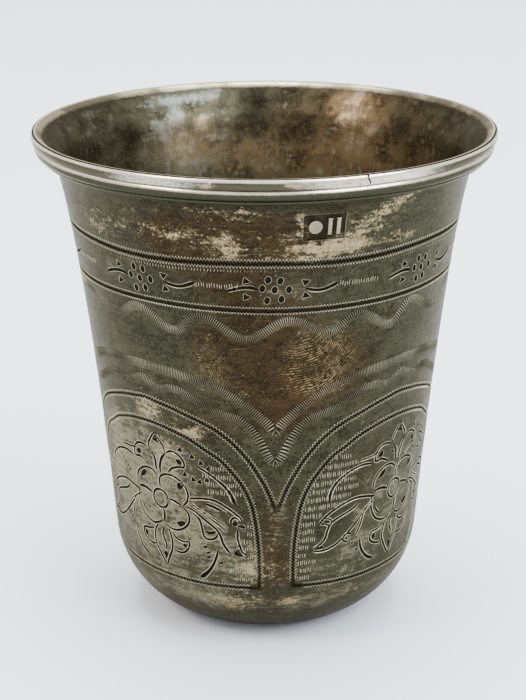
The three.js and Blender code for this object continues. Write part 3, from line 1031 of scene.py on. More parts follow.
@dataclass
class EngravedBody:
    """The raised beaker with its engraved wall, lip, hollow inside and base, as one closed skin.

    The engraved zone is a sheet of triangles laid on the unrolled wall, with every edge of a cut kept as an
    edge of the mesh (a constrained Delaunay triangulation). A grid fine enough for the cuts would need
    millions of faces. The rest is rings of points round a profile.
    """

    form: BeakerForm
    low: float = 8.6
    high: float = 63.3
    columns: int = 240
    ground_step: float = 1.5
    clear: float = 0.75
    overlap: float = 6.0
    merge: float = 1e-5
    seams: Point = (SEAM * PLANE, (SEAM + 360) * PLANE)
    worn: tuple[Patch, ...] = patches(
        (31, 61.6, 12, 1.5, 1.05, 0.22), (15, 58, 14, 1.7, 0.95), (8.5, 61.3, 2.6, 1.6, 0.9),
        (46, 58.4, 18, 0.8, 0.85, 0.02), (-17, 62.3, 4.5, 0.9), (-8, 62.7, 7.5, 0.7),
        (3, 62.4, 4, 0.7, 0.9), (-21, 59.1, 11, 1.7, 0.68, -0.03), (-9.5, 58.6, 3.2, 1.8, 0.9),
        (-30, 62.5, 6, 0.6, 0.7), (-54, 58.8, 8, 1.8, 0.7), (-38, 60.2, 8, 1.2, 0.5), (-42, 34.3, 8, 1.7),
        (-24, 32.5, 7, 1.3, 0.95, -0.05), (-35, 28.6, 9, 2.4, 0.75), (-24, 18, 8, 4, 0.4),
        (-6, 12.8, 6, 3.4, 0.85), (-14, 7.2, 17, 1.7, 0.85), (9, 7.5, 5, 0.9, 0.9),
        (36, 7.6, 16, 0.9, 0.5), (6, 12.5, 6, 2.5, 0.4), (110, 59.5, 22, 2, 0.8), (-120, 59.5, 24, 2, 0.7),
        (170, 59, 16, 1.6, 0.7), (130, 30, 14, 5, 0.5), (-140, 24, 12, 6, 0.5), (100, 7.4, 20, 1.4, 0.8),
        (-110, 7.4, 22, 1.5, 0.8), (175, 7.6, 18, 1.2, 0.7))
    warm: tuple[Patch, ...] = patches(
        (-2, 45, 22, 8), (5, 37, 9, 4.5), (-16, 60, 26, 5), (-18, 20, 14, 9, 0.5), (-31, 20, 8, 4, 0.5),
        (3, 20, 4, 8, 0.7), (22, 41, 16, 5, 0.8), (34, 25, 10, 5, 0.5), (120, 45, 30, 14, 0.8),
        (-130, 40, 30, 16, 0.8), (175, 25, 24, 14, 0.7), (10, 60, 14, 2.5, 0.7), (-24, 33, 12, 2.5, 0.6),
        (0, 13, 12, 4, 0.5), (-8, 53, 11, 2.2, 0.7))
    # The patch at -7 degrees and 37 mm, below 0, keeps an upright stripe dark: a painted dark reflection.
    pale: tuple[Patch, ...] = patches(
        (-44, 27, 18, 6), (-36, 17, 24, 7, 0.9), (-62, 20, 14, 14, 0.6), (50, 20, 20, 9, 0.55),
        (30, 14, 12, 5, 0.4), (14, 52, 16, 2.5, 0.25), (-30, 7, 30, 2.5, 0.7), (40, 7, 26, 2, 0.4),
        (16, 47.5, 7, 2, 0.5), (4, 22, 3, 7, 0.45), (20, 12, 18, 5, 0.3), (-14, 13.5, 14, 4, 0.5),
        (20, 7.3, 10, 1.2, 0.4), (-7, 37, 5, 6, -0.5), (35, 38.5, 8, 5, -0.6), (24, 19, 8, 6, -0.2),
        (5, 53, 6, 1.5, 0.4), (-52, 53, 8, 2, 0.3), (-21, 38.5, 7, 2, 0.35), (130, 20, 26, 10, 0.8),
        (-130, 20, 24, 9, 0.8), (165, 48, 20, 6, 0.4), (-100, 50, 18, 7, 0.4))
    # Warm brown tarnish in the bowl; where it meets the painted sheens it also gives them their warm colour.
    inside_warm: tuple[Patch, ...] = patches(
        (160, 59, 22, 7), (126, 59, 22, 8), (206, 59.6, 10, 3.4), (186, 58, 9, 4, 0.6),
        (151, 65, 9, 4, 0.8), (199.5, 62.7, 3, 1.2, 0.9), (30, 45, 40, 14, 0.6))
    # Bowl patches above 0 are mostly painted sheen, the windows' reflections and a glint, with thinner
    # tarnish; those below 0 are painted dark reflection.
    inside_pale_sheen_and_dark: tuple[Patch, ...] = patches(
        (208, 66.3, 9, 0.7), (196, 66.7, 5, 0.6, 0.9), (208, 64.4, 2.4, 1.1, 1.1),
        (199.5, 62.9, 2.6, 0.9, 1.1), (194, 61.2, 5, 0.5, 0.9), (214, 62.3, 5, 1.1, 0.5),
        (210, 59.8, 8, 3, 0.8), (203, 56.3, 10, 1.6, 0.5), (181, 57, 9, 1.5, 0.3), (151.5, 66.8, 4, 1),
        (154, 63.4, 5, 2, 0.55), (143.5, 62.6, 3, 0.7, 1.1, -0.25), (150, 60, 6, 3, 0.55),
        (165, 57.5, 8, 1.6, 0.35), (118, 59, 7, 3, 0.4), (240, 59, 8, 4, 0.3),
        (184, 64.8, 6.5, 3.2, -0.75), (163, 65, 5, 3, -0.8), (133, 63.8, 6, 3, -0.5),
        (226, 62, 6, 4, -0.5), (172, 60, 8, 3, -0.3), (20, 50, 30, 8, 0.5))

    def build(self) -> bpy.types.Object:
        """Makes the body."""
        skin = Skin()
        self._wall(skin)
        self._turned(skin)
        return skin.weld("engraved_beaker", crease=32)

    # Profile

    def _lower_profile(self) -> Array:
        """Radius and height from the middle of the base to the foot of the engraved zone."""
        form = self.form
        start = math.asin(-form.corner_centre_z / form.corner_radius)
        end = math.asin((self.low - form.corner_centre_z) / form.corner_radius)
        turn = np.linspace(start, end, 14)
        arc = np.column_stack([form.corner_centre_r + form.corner_radius * np.cos(turn),
                               form.corner_centre_z + form.corner_radius * np.sin(turn)])
        arc[-1, 0] = form.radius(self.low)
        flat = np.array([(0, 0), (4, 0), (8, 0), (11, 0), (12.1, 0)])
        return np.vstack([flat, arc])

    def _upper_profile(self) -> Array:
        """Radius and height from the top of the engraved zone over the lip and down to the bowl's floor."""
        form = self.form
        seat = [(form.radius(self.high), self.high), (28.1, 64.1), (29.4, 65.95), (30.2, 67.5), (30.27, 67.8)]
        lip = [(30.26, 67.88), (30.18, 67.9), (30.05, 67.84), (29.85, 67.7), (29.6, 67.42), (29.3, 67.0),
               (28.85, 66.25), (28.25, 65.3), (27.6, 64.3)]
        corner = form.corner_radius - form.wall
        z = np.linspace(63.4, 13.3, 40)
        wall = np.column_stack([form.radius(z) - form.wall, z])
        turn = np.linspace(0.02, 1.21, 14)
        bend = np.column_stack([form.corner_centre_r + corner * np.cos(turn),
                                form.corner_centre_z - corner * np.sin(turn)])
        floor = [(12.3, form.floor), (9, form.floor), (5, form.floor), (0, form.floor)]
        return np.vstack([seat, lip, wall, bend, floor])

    def _sheet_rows(self) -> tuple[Array, Array, float]:
        """Distances along the profile for the lower part and the upper part, and the profile's length."""
        lower, upper = self._lower_profile(), self._upper_profile()
        first = travelled(lower)
        zone = first[-1] + (self.high - self.low) * 1.01
        second = zone + travelled(upper)
        return first, second, second[-1]

    # Turned parts

    def _turned(self, skin: Skin) -> None:
        """Adds the base with its corner, and the lip with the inside."""
        first, second, whole = self._sheet_rows()
        lower, upper = self._lower_profile(), self._upper_profile()
        self._ring_patch(skin, lower, first / whole, {}, np.ones(len(lower)))
        row = np.arange(len(upper))
        marks = {
            Mark.INSIDE: np.interp(row, [7, 11], [0, 1]),
            Mark.LIP: np.interp(row, [4, 5, 8, 11], [0, 1, 1, 0]),
            Mark.CUT: np.interp(row, [2, 3, 4, 5], [0, 1, 1, 0]),
        }
        self._ring_patch(skin, upper, second / whole, marks, np.interp(row, [0, 1, 13, 20], [1, 0, 0, 0.8]))

    def _ring_patch(self, skin: Skin, profile: Array, along: Array, marks: dict[Mark, Array],
                    sway: Array) -> None:
        """Adds a turned patch.

        Args:
            skin: The skin it joins.
            profile: Rows of radius and height.
            along: Place of each row on the unrolled skin.
            marks: Marks, one number per row.
            sway: How much of the wall's unevenness each row takes.
        """
        angle = self._stations()
        turn, z = np.meshgrid(angle, profile[:, 1])
        radius = profile[:, :1] + self.form.dents(turn, z) * sway[:, None]
        turn, z = turn.ravel(), z.ravel()
        table = {mark: np.repeat(values, len(angle)) for mark, values in marks.items()}
        table.update(self._tones(turn, z, table.get(Mark.INSIDE, 0.0)))
        sheet = np.column_stack([(turn - SEAM) / 360, np.repeat(along, len(angle))])
        skin.add(self.form.place(turn, radius.ravel(), z), sheet, table, grid_faces(len(profile), len(angle)))

    def _stations(self) -> Array:
        """Angles of the turned parts' columns, from seam to seam."""
        return SEAM + np.arange(self.columns + 1) * 360 / self.columns

    def _tones(self, angle: Array, z: Array, inside: Array | float = 0.0) -> dict[Mark, Array]:
        """Marks of the tarnish at points, where `inside` goes from 0 on the outside to 1 in the bowl."""
        tones = {}
        for mark, *sides in ((Mark.WORN_AND_HIGHLIT, self.worn, ()), (Mark.WARM, self.warm, self.inside_warm),
                             (Mark.PALE, self.pale, self.inside_pale_sheen_and_dark)):
            outer, inner = (covering(areas, angle, z) for areas in sides)
            tones[mark] = outer + (inner - outer) * inside
        return tones

    # Engraved wall

    def _wall(self, skin: Skin) -> None:
        """Adds the engraved wall."""
        cuts = Ornament(self.form).draw()
        points, edges = self._repeat_round(np.vstack(cuts.points), np.vstack(cuts.edges))
        frame_points, frame_edges = self._frame_lines()
        ground = self._ground(points)
        edges = np.vstack([edges, frame_edges + len(points)])
        points = np.vstack([points, frame_points, ground])
        placed, marks, faces = self._triangulate(points, edges)
        angle = placed[:, 0] / PLANE
        first, second, whole = self._sheet_rows()
        along = first[-1] + (placed[:, 1] - self.low) / (self.high - self.low) * (second[0] - first[-1])
        sheet = np.column_stack([(angle - SEAM) / 360, along / whole])
        z = placed[:, 1]
        radius = self.form.radius(z) + self.form.dents(angle, z) - marks[:, 0]
        table = {Mark.CUT: marks[:, 1], Mark.BURR_AND_HIGHLIGHT: marks[:, 2], **self._tones(angle, z)}
        skin.add(self.form.place(angle, radius, z), sheet, table, faces)
        log.info("engraved wall: %d points", len(placed))

    def _repeat_round(self, points: Array, edges: Array) -> tuple[Array, Array]:
        """Keeps the cuts near the strip between the two seams, with copies of what lies across a seam."""
        turn = 360 * PLANE
        left, right = self.seams
        kept_points, kept_edges, count = [], [], 0
        for shift in (-turn, 0, turn):
            x = points[:, 0] + shift
            near = (x > left - self.overlap) & (x < right + self.overlap)
            if shift:
                near &= ((x < left + self.overlap) | (x > right - self.overlap)) & (points[:, 5] == 0)
            place = np.cumsum(near) - 1 + count
            both = near[edges[:, 0]] & near[edges[:, 1]]
            kept_points.append(points[near] + [shift, 0, 0, 0, 0, 0])
            kept_edges.append(place[edges[both]])
            count += int(near.sum())
        return np.vstack(kept_points), np.vstack(kept_edges)

    def _frame_lines(self) -> tuple[Array, Array]:
        """Points and edges of the strip's two seams and of its top and bottom, all without depth."""
        across = self._stations() * PLANE
        up = np.linspace(self.low, self.high, 38)
        lines = [np.column_stack([across, np.full(len(across), z)]) for z in (self.low, self.high)]
        lines += [np.column_stack([np.full(len(up), x), up]) for x in self.seams]
        edges, count = [], 0
        for line in lines:
            start = np.arange(len(line) - 1) + count
            edges.append(np.column_stack([start, start + 1]))
            count += len(line)
        places = np.vstack(lines)
        return np.hstack([places, np.zeros((len(places), 4))]), np.vstack(edges)

    def _ground(self, cuts: Array) -> Array:
        """Points of the plain wall: a staggered grid, without those that come near a cut or a seam."""
        step = self.ground_step
        left, right = self.seams
        x, z = np.meshgrid(np.arange(left - self.overlap, right + self.overlap, step),
                           np.arange(self.low + step, self.high - 0.5 * step, step))
        x = x + (np.arange(len(z)) % 2)[:, None] * step / 2
        places = np.column_stack([x.ravel(), z.ravel()])
        places = places[(np.abs(places[:, 0] - left) > 0.5) & (np.abs(places[:, 0] - right) > 0.5)]
        tree = KDTree(len(cuts))
        for number, (a, b) in enumerate(cuts[:, :2].tolist()):
            tree.insert((a, b, 0), number)
        tree.balance()
        far = [tree.find((a, b, 0))[2] > self.clear for a, b in places.tolist()]
        return np.hstack([places[far], np.zeros((sum(far), 4))])

    def _triangulate(self, points: Array, edges: Array) -> tuple[Array, Array, Array]:
        """Triangles between all the points, with every edge kept.

        Args:
            points: Rows of x, z, depth, CUT, BURR_AND_HIGHLIGHT and the ring flag.
            edges: Rows of two points.

        Returns:
            Places, then depth, CUT and BURR_AND_HIGHLIGHT of the points in use, and rows of three points.
        """
        flat = [Vector(row) for row in points[:, :2].tolist()]
        made, pairs, faces, point_origins, edge_origins, _ = delaunay_2d_cdt(
            flat, edges.tolist(), [], 0, self.merge, True)
        places = np.array([tuple(place) for place in made])
        marks = np.zeros((len(places), 3))
        for number, origins in enumerate(point_origins):
            if origins:
                marks[number] = points[origins, 2:5].max(axis=0)
        fresh = [not origins for origins in point_origins]
        for pair, origins in zip(pairs, edge_origins):
            for end in pair:
                if fresh[end] and origins:
                    start, stop = points[edges[origins[0]]]
                    span = stop[:2] - start[:2]
                    share = np.clip((places[end] - start[:2]) @ span / max(span @ span, 1e-12), 0, 1)
                    marks[end] = np.maximum(marks[end], (start + (stop - start) * share)[2:5])
        marks[:, 2] *= 1 - np.clip(marks[:, 1], 0, 1)
        faces = np.array(faces)
        middle = places[faces, 0].mean(axis=1)
        faces = faces[(middle > self.seams[0]) & (middle < self.seams[1])]
        used, faces = np.unique(faces, return_inverse=True)
        return places[used], marks[used], faces.reshape(-1, 3)


# ---------------------------------------------------------------------- the rim wire


@dataclass(frozen=True)
class WireSection:
    """The wire's closed section: foot, thin reed, lower bead, upper bead, and the seat on the lip.

    `points` are rows of radius and height. `shine` is 1 where hands rub the row and, along the bead tops, a
    painted highlight as well; `grime` where dirt stays in a groove, `upper` on the upper bead, and `shelter`
    on the lower bead's dull underside.
    """

    points: Array
    shine: Array
    grime: Array
    upper: Array
    shelter: Array

    @classmethod
    def build(cls) -> "WireSection":
        """Puts the section together from its arcs and curves."""
        reed = cls._arc((29.58, 64.92), 0.34, np.linspace(-75, 20, 6))
        low_turn = np.linspace(-54, 38, 14)
        low = cls._arc((29.76, 65.86), 0.85, low_turn)
        top = smooth([(30.4, 66.45), (30.8, 66.68), (30.97, 67.05), (31.0, 67.45), (30.9, 67.8), (30.6, 68.0),
                      (30.3, 67.93)], 0.12)
        share = np.linspace(0, 1, len(top))
        foot, groove = np.array([(28.3, 64.3), (28.95, 64.45)]), np.array([(29.85, 65.15)])
        seat = np.array([(30.3, 67.8), (29.5, 66.0), (28.3, 64.3)])
        # The second column is the shine. On the reed, the lower bead's top and the upper bead's crest it is a
        # painted highlight as well as rubbed silver.
        parts = [
            (foot, 0, 1, 0, 1),
            (reed, np.interp(np.arange(6), [1, 3, 5], [0.0, 0.14, 0.04]), 0.25, 0, 0.5),
            (groove, 0, 1, 0, 1),
            (low, np.interp(low_turn, [2, 20, 34], [0, 0.75, 1]), 0, 0,
             np.interp(low_turn, [-50, -30, -5, 18], [0.75, 0.6, 0.5, 0])),
            (top, np.interp(share, [0.56, 0.64, 0.75, 0.8, 0.87, 1], [0, 1, 1, 0.35, 0.85, 0.8]),
             np.interp(share, [0, 0.06, 0.72, 0.77, 0.84, 0.89], [0.7, 0, 0, 1, 1, 0]), 1, 0),
            (seat, 0, 0, 1, 0)]
        columns = [np.concatenate([np.broadcast_to(part[number], len(part[0])) for part in parts])
                   for number in (1, 2, 3, 4)]
        return cls(np.vstack([part[0] for part in parts]), *columns)

    @staticmethod
    def _arc(centre: Point, radius: float, turn: Array) -> Array:
        """Points of an arc at angles in degrees from outward."""
        turn = np.radians(turn)
        return np.column_stack([centre[0] + radius * np.cos(turn), centre[1] + radius * np.sin(turn)])


@dataclass
class RimWire:
    """The reeded wire soldered round the lip, carried round the cup.

    Its butt joint has opened to an S-shaped crack in the upper bead, and a small nick is left of the front.
    """

    joint: float = 23.8
    joint_depth: float = 0.3
    joint_half: float = 0.085
    joint_swing: float = -0.3
    joint_dip: float = 0.2
    nick: float = -12.0
    nick_z: float = 67.35
    nick_half: float = 0.13
    nick_rise: float = 0.3
    nick_lean: float = 0.6
    nick_depth: float = 0.12
    middle_z: float = 67.3
    bead_radius: float = 30.35
    columns: int = 360
    # The front patches, at -26, 20 and 38 degrees, are painted highlight of the windows on the upper bead;
    # the rest are rubbed silver.
    rubbed_and_highlit: tuple[Patch, ...] = patches(
        (-26, 67.4, 12, 9), (20, 67.4, 14, 9), (38, 67.4, 9, 9, 0.7), (95, 67.4, 22, 9, 0.8),
        (-100, 67.4, 26, 9, 0.8), (170, 67.4, 24, 9, 0.8), (-150, 67.4, 12, 9, 0.6))
    pinkish: tuple[Patch, ...] = patches(
        (-13, 67.1, 2.6, 0.6, 0.9), (6, 67.4, 2.4, 0.5), (9.5, 67, 3, 0.4, 0.5), (120, 67.1, 4, 0.5, 0.8),
        (-80, 67.2, 3, 0.5, 0.7))

    def build(self) -> bpy.types.Object:
        """Makes the wire."""
        section = WireSection.build()
        rows = len(section.points)
        angle = self._angles()
        turn, row = np.meshgrid(angle, np.arange(rows))
        radius, z = section.points[row, 0], section.points[row, 1]
        upper = section.upper[row] * (radius > self.bead_radius)
        crack = upper * np.exp(-(self._from_joint(turn, z) / self.joint_half) ** 2)
        aside = (turn - self.nick) * RIM_DEGREE - self.nick_lean * (z - self.middle_z)
        nick = upper * np.exp(-(aside / self.nick_half) ** 2 - ((z - self.nick_z) / self.nick_rise) ** 2)
        flat = 0.05 * np.sin(np.radians(7 * turn) + 1) + 0.03 * np.sin(np.radians(13 * turn))
        radius = (radius - self.joint_depth * crack - self.nick_depth * nick
                  + np.minimum(flat, 0) * (radius > 29.5))
        z = z - self.joint_dip * crack * (z > 67.7)
        turn, radius, z = turn.ravel(), radius.ravel(), z.ravel()
        # The burr mark carries the section's shine, painted highlight on the bead tops with rubbed silver;
        # the worn mark carries the rubbed patches, whose front ones are painted highlight.
        marks = {
            Mark.CUT: np.maximum(crack, section.grime[row]).ravel(),
            Mark.BURR_AND_HIGHLIGHT: section.shine[row].ravel(),
            Mark.LIP: section.upper[row].ravel(),
            Mark.PALE: section.shelter[row].ravel(),
            Mark.WARM: np.maximum(covering(self.pinkish, turn, z) * 0.7, nick.ravel()),
            Mark.WORN_AND_HIGHLIT: covering(self.rubbed_and_highlit, turn, z),
        }
        sheet = np.column_stack([(turn - angle[0]) / 360, row.ravel() / (rows - 1)])
        skin = Skin()
        skin.add(BeakerForm().place(turn, radius, z), sheet, marks, grid_faces(rows, len(angle)))
        return skin.weld("beaded_rim", crease=50)

    def _angles(self) -> Array:
        """Angles of the stations, closer together at the joint and the nick."""
        even = np.arange(self.columns) * 360 / self.columns + SEAM
        fine = np.concatenate([self.joint + np.arange(-1.2, 1.21, 0.08),
                               self.nick + np.arange(-1.4, 1.41, 0.14)])
        free = np.min(np.abs(even[:, None] - fine), axis=1) > 0.4
        angle = np.unique(np.concatenate([even[free], fine]))
        return np.append(angle, angle[0] + 360)

    def _from_joint(self, turn: Array, z: Array) -> Array:
        """Distance in mm from the crack, whose line is S-shaped: swing sin(2 pi (z - middle) / 1.6)."""
        line = self.joint + self.joint_swing * np.sin(TURN * (z - self.middle_z) / 1.6)
        return (turn - line) * RIM_DEGREE


# ---------------------------------------------------------------------- finishes


@dataclass(frozen=True)
class Fingerprint:
    """Ridges that a finger left in the tarnish: arcs round a centre that fade with distance from a middle."""

    angle: float            # of the centre, degrees
    z: float                # of the centre, mm
    middle: Point           # of the print from the centre, mm round the wall and up
    reach: float            # mm
    strength: float
    pitch: float = 0.34     # mm between ridges

    def ridges(self, g: Graph, here: bpy.types.NodeSocket) -> Value:
        """1 on a ridge: sin(2 pi distance / pitch), with the distance from the centre bent by slow noise."""
        across, up = g.unrolled()
        across = across - math.radians(self.angle) * WALL_RADIUS
        up = up - self.z
        bent = (across * across + up * up).power(0.5) + 1.9 * g.noise(here, 5, 2).swing()
        ridge = ((bent + g.noise(here, 1.0, 2).swing(0.5)) * (TURN / self.pitch)).sine().step(-0.2, 0.9)
        broken = g.noise(here, 0.42, 2).step(0.38, 0.6)
        patchy = g.noise(here, 2.2, 3).step(0.3, 0.6)
        aside, above = across - self.middle[0], up - self.middle[1]
        distance = (aside * aside + above * above).power(0.5)
        fade = self.strength - distance.step(0.4 * self.reach, self.reach) * self.strength
        return ridge * broken * patchy * fade


@dataclass(frozen=True)
class TarnishedSilver:
    """Old silver of the body: brown and grey-green tarnish, bared patches, black cuts and bright burrs, with
    painted shade under the rim and painted sheens and dark reflections in the bowl.
    """

    olive: Colour = (0.0320, 0.0309, 0.0168)
    brown: Colour = (0.0270, 0.0175, 0.0076)
    rust: Colour = (0.056, 0.026, 0.011)
    dark: Colour = (0.0045, 0.0040, 0.0026)
    bare: Colour = (0.225, 0.198, 0.114)
    pale: Colour = (0.145, 0.136, 0.084)
    cut: Colour = (0.0115, 0.0110, 0.0068)
    burr: Colour = (0.37, 0.34, 0.235)
    gold: Colour = (0.200, 0.145, 0.068)
    inside_grey: Colour = (0.125, 0.122, 0.074)
    inside_brown: Colour = (0.200, 0.140, 0.069)
    # Painted sheen colours in the bowl, the windows' reflections: grey-green, and warm pink-gold.
    inside_sheen: Colour = (0.142, 0.158, 0.136)
    inside_warm_sheen: Colour = (0.275, 0.215, 0.140)
    lip: Colour = (0.36, 0.32, 0.21)
    lip_dull: Colour = (0.14, 0.125, 0.085)
    veil: Colour = (0.290, 0.255, 0.175)
    prints: tuple[Fingerprint, ...] = (
        Fingerprint(7.0, 50.2, (4.2, -8.0), 6.6, 0.9), Fingerprint(-22, 39.3, (2.2, 2.4), 4.2, 0.5, 0.32))
    speckle: Patch = Patch(6.0, 37.5, 7.0, 4.0)

    def make(self) -> bpy.types.Material:
        """Builds the material."""
        g = Graph("tarnished silver")
        marks = {mark: g.attribute(mark.value) for mark in Mark}
        here = g.place()
        worn = self._worn(g, marks)
        ragged = (marks[Mark.LIP] + g.noise(here, 1.6, 6).swing(0.35)).step(0.45, 0.85)
        lip = g.blend(g.noise(here, 7, 3).step(0.42, 0.58), self.lip, self.lip_dull)
        grime = g.noise(here, 0.9, 4)
        cut = (marks[Mark.CUT] * (0.6 + 0.8 * grime)).step(0.1, 0.55)
        burr = marks[Mark.BURR_AND_HIGHLIGHT].step(0.08, 0.95)
        shine = burr * (0.5 + 0.8 * grime)
        edge = g.blend(marks[Mark.WARM] * 0.35, self.burr, self.gold)
        outside, inside = self._outside(g, here, marks, worn), self._inside(g, here, marks)
        colour = g.layers(outside, (marks[Mark.INSIDE], inside), (ragged, lip), (shine.step(0.0, 1.0), edge),
                          (cut, self.cut))
        roughness = (0.46 - 0.12 * worn - 0.12 * burr + 0.3 * cut + grime.swing(0.2) - 0.14 * ragged
                     - 0.06 * marks[Mark.INSIDE])
        relief = g.noise(here, 0.3, 5, 0.65) * 0.6 + g.noise(g.place((1, 1, 9)), 2.0, 3) * 0.4
        normal = g.bump(relief, 0.45, 0.05)
        return g.finish(Base_Color=colour, Roughness=roughness, Metallic=0.96, Normal=normal,
                        Specular_Tint=(0.78, 0.75, 0.68, 1.0))

    @staticmethod
    def _worn(g: Graph, marks: dict[Mark, Value]) -> Value:
        """Where the silver is bared: the mark broken up by ragged noise that runs round the cup."""
        ragged = g.noise(g.place((1, 1, 2.0)), 2.0, 8, 0.72)
        speck = g.noise(g.place((1, 1, 1.3)), 0.5, 3, 0.6)
        streak = g.noise(g.place((1, 1, 7)), 3.5, 4)
        grain = g.noise(g.place(), 0.2, 3, 0.7)
        spread = (marks[Mark.WORN_AND_HIGHLIT] * 0.85 + ragged.swing(2.0) + streak.swing(0.9) + speck.swing(1.3)
                  + grain.swing(1.2))
        return spread.step(0.38, 0.95)

    def _outside(self, g: Graph, here: bpy.types.NodeSocket, marks: dict[Mark, Value],
                 worn: Value) -> bpy.types.NodeSocket:
        """Colour of the outside without its cuts, with painted shade under the rim."""
        cloud = g.noise(here, 7, 4)
        blotch = g.noise(here, 2.6, 6, 0.62)
        fine = g.noise(here, 0.4, 5, 0.7)
        grain = g.noise(here, 0.16, 2, 0.6)
        drawn = g.noise(g.place((1, 1, 5)), 2.4, 4, 0.6)
        across, up = g.unrolled()
        warm = (marks[Mark.WARM] + cloud.swing(1.2)).step(0.15, 0.9)
        red = self._over(across, up, self.speckle) * (fine + grain - 0.5).step(0.35, 0.75)
        shade = blotch.swing(2.2) + fine.swing(3.4) + grain.swing(3.4) + drawn.swing(1.6) + 0.4
        uneven = blotch.swing(3.0) + fine.swing(2.2) + drawn.swing(2.4) + cloud.swing() + grain.swing(2.0)
        pale = (marks[Mark.PALE] * 0.95 + uneven * (0.35 + 0.65 * marks[Mark.PALE])).step(0.3, 1.1)
        lines = g.scratches(across, up, 0.75, 0.08, 2.6, 0.67)
        for tilt, width, length, rarity in ((-0.9, 0.07, 3.0, 0.69), (1.45, 0.08, 4.0, 0.67)):
            lines = lines.most(g.scratches(across, up, tilt, width, length, rarity))
        flecks = (fine + blotch.swing(0.3) + grain.swing(0.25)).step(0.63, 0.73)
        bare = g.blend((fine + grain.swing(1.5) + drawn.swing()).step(0.4, 0.62), self.gold, self.bare)
        # up.step(62.4, 63.8) darkens a band just under the rim wire: painted shade.
        return g.layers(self.olive, (warm, self.brown), (red * 0.8, self.rust),
                        (shade.step(0.0, 1.0) * 0.85, self.dark), (pale * 0.8, self.pale),
                        (lines * (cloud.step(0.4, 0.6) * 0.35), self.pale),
                        (flecks * (0.35 + 0.2 * marks[Mark.WARM]), self.gold),
                        *((mark.ridges(g, here), self.gold) for mark in self.prints),
                        (up.step(62.4, 63.8) * 0.4, self.dark), (worn, bare))

    @staticmethod
    def _over(across: Value, up: Value, patch: Patch) -> Value:
        """1 in the middle of a patch and 0 outside it, by the distance in shares of its spread."""
        degree = math.radians(1) * WALL_RADIUS
        aside = (across - patch.angle * degree) * (1 / (patch.spread * degree))
        above = (up - patch.z) * (1 / patch.rise)
        return 1.0 - (aside * aside + above * above).step(0.1, 1.4)

    def _inside(self, g: Graph, here: bpy.types.NodeSocket, marks: dict[Mark, Value]) -> bpy.types.NodeSocket:
        """Colour of the bowl's inside: blotches with soft upright streaks, pale painted sheens that are
        reflections of the windows, and painted dark reflection at the top and in patches.
        """
        streak = g.noise(g.place((1, 1, 0.25)), 0.9, 5, 0.55)
        level = g.noise(g.place((1, 1, 3)), 3.2, 5, 0.55)
        cloud = g.noise(here, 3.0, 5, 0.55)
        mottle = g.noise(here, 0.9, 5, 0.6)
        up = g.unrolled()[1]
        warm = (marks[Mark.WARM] + cloud.swing(1.0) + streak.swing(0.8)).step(-0.1, 1.1)
        shade = cloud.swing(2.2) + mottle.swing(2.4) + streak.swing(1.8) + level.swing(1.6) + 0.45
        # Painted dark reflection where the pale mark is below 0.
        dark_reflection = marks[Mark.PALE] * -1.0
        veil = (mottle.swing(1.6) + level.swing(2.4) + streak.swing(2.0) + 0.1).step(-0.05, 1.0)
        # The pale veils thin out towards the top, under the painted dark reflection there.
        veil = veil * (0.7 - up.step(57.0, 64.0) * 0.45) * (1.0 - dark_reflection.step(0.0, 0.8))
        # Painted sheen of the windows, mixed with thinner tarnish.
        pale = (marks[Mark.PALE] + mottle.swing(1.3) + level.swing(1.2) + streak.swing(1.4)).step(0.1, 1.15)
        # The step on the height darkens the top of the bowl: painted dark reflection.
        return g.layers(self.inside_grey, (warm, self.inside_brown),
                        (shade.step(-0.1, 1.1) * 0.88, self.dark), (up.step(57.5, 64.5) * 0.6, self.dark),
                        ((dark_reflection + cloud.swing(0.8)).step(0.0, 1.0) * 0.8, self.dark), (veil, self.veil),
                        (pale * 0.95, g.blend(marks[Mark.WARM], self.inside_sheen, self.inside_warm_sheen)))


@dataclass(frozen=True)
class RubbedAndHighlitSilver:
    """Silver of the rim wire: bright where rubbed and as a painted highlight on the beads, brown-grey on its
    sides, dark in its grooves.
    """

    # Rubbed silver, and the painted highlight on the beads.
    bright: Colour = (0.97, 0.91, 0.74)
    dull: Colour = (0.042, 0.038, 0.024)
    sheltered: Colour = (0.018, 0.020, 0.012)
    cut: Colour = (0.005, 0.005, 0.003)
    pinkish: Colour = (0.34, 0.24, 0.18)
    gold: Colour = (0.85, 0.66, 0.34)

    def make(self) -> bpy.types.Material:
        """Builds the material."""
        g = Graph("rubbed silver")
        marks = {mark: g.attribute(mark.value) for mark in Mark}
        cloud = g.noise(g.place((1, 1, 3)), 5, 4)
        fine = g.noise(g.place((1, 1, 2)), 0.5, 5, 0.65)
        sheltered = (marks[Mark.PALE] + fine.swing(0.5)).step(0.15, 0.7)
        # Painted highlight over the upper bead where the front patches lie.
        front = marks[Mark.WORN_AND_HIGHLIT] * marks[Mark.LIP] * (1.0 - marks[Mark.PALE])
        rubbed_and_highlit = (marks[Mark.BURR_AND_HIGHLIGHT] * (0.75 + 0.7 * (cloud - 0.4)) + front * 0.5 * (0.4 + cloud)
                  + fine.swing(0.45)).step(0.12, 0.85)
        touched = (marks[Mark.WARM] + fine.swing(0.7)).step(0.25, 0.75)
        cut = marks[Mark.CUT].step(0.25, 0.75)
        colour = g.layers(self.dull, (sheltered, self.sheltered), (rubbed_and_highlit, self.bright),
                          (touched * 0.7, self.pinkish), (marks[Mark.WARM].step(0.75, 0.98), self.gold),
                          (cut, self.cut))
        return g.finish(Base_Color=colour, Roughness=0.26 - 0.08 * rubbed_and_highlit + 0.3 * cut, Metallic=0.97,
                        Normal=g.bump(fine, 0.2, 0.025), Specular_Tint=(0.66, 0.64, 0.58, 1.0))


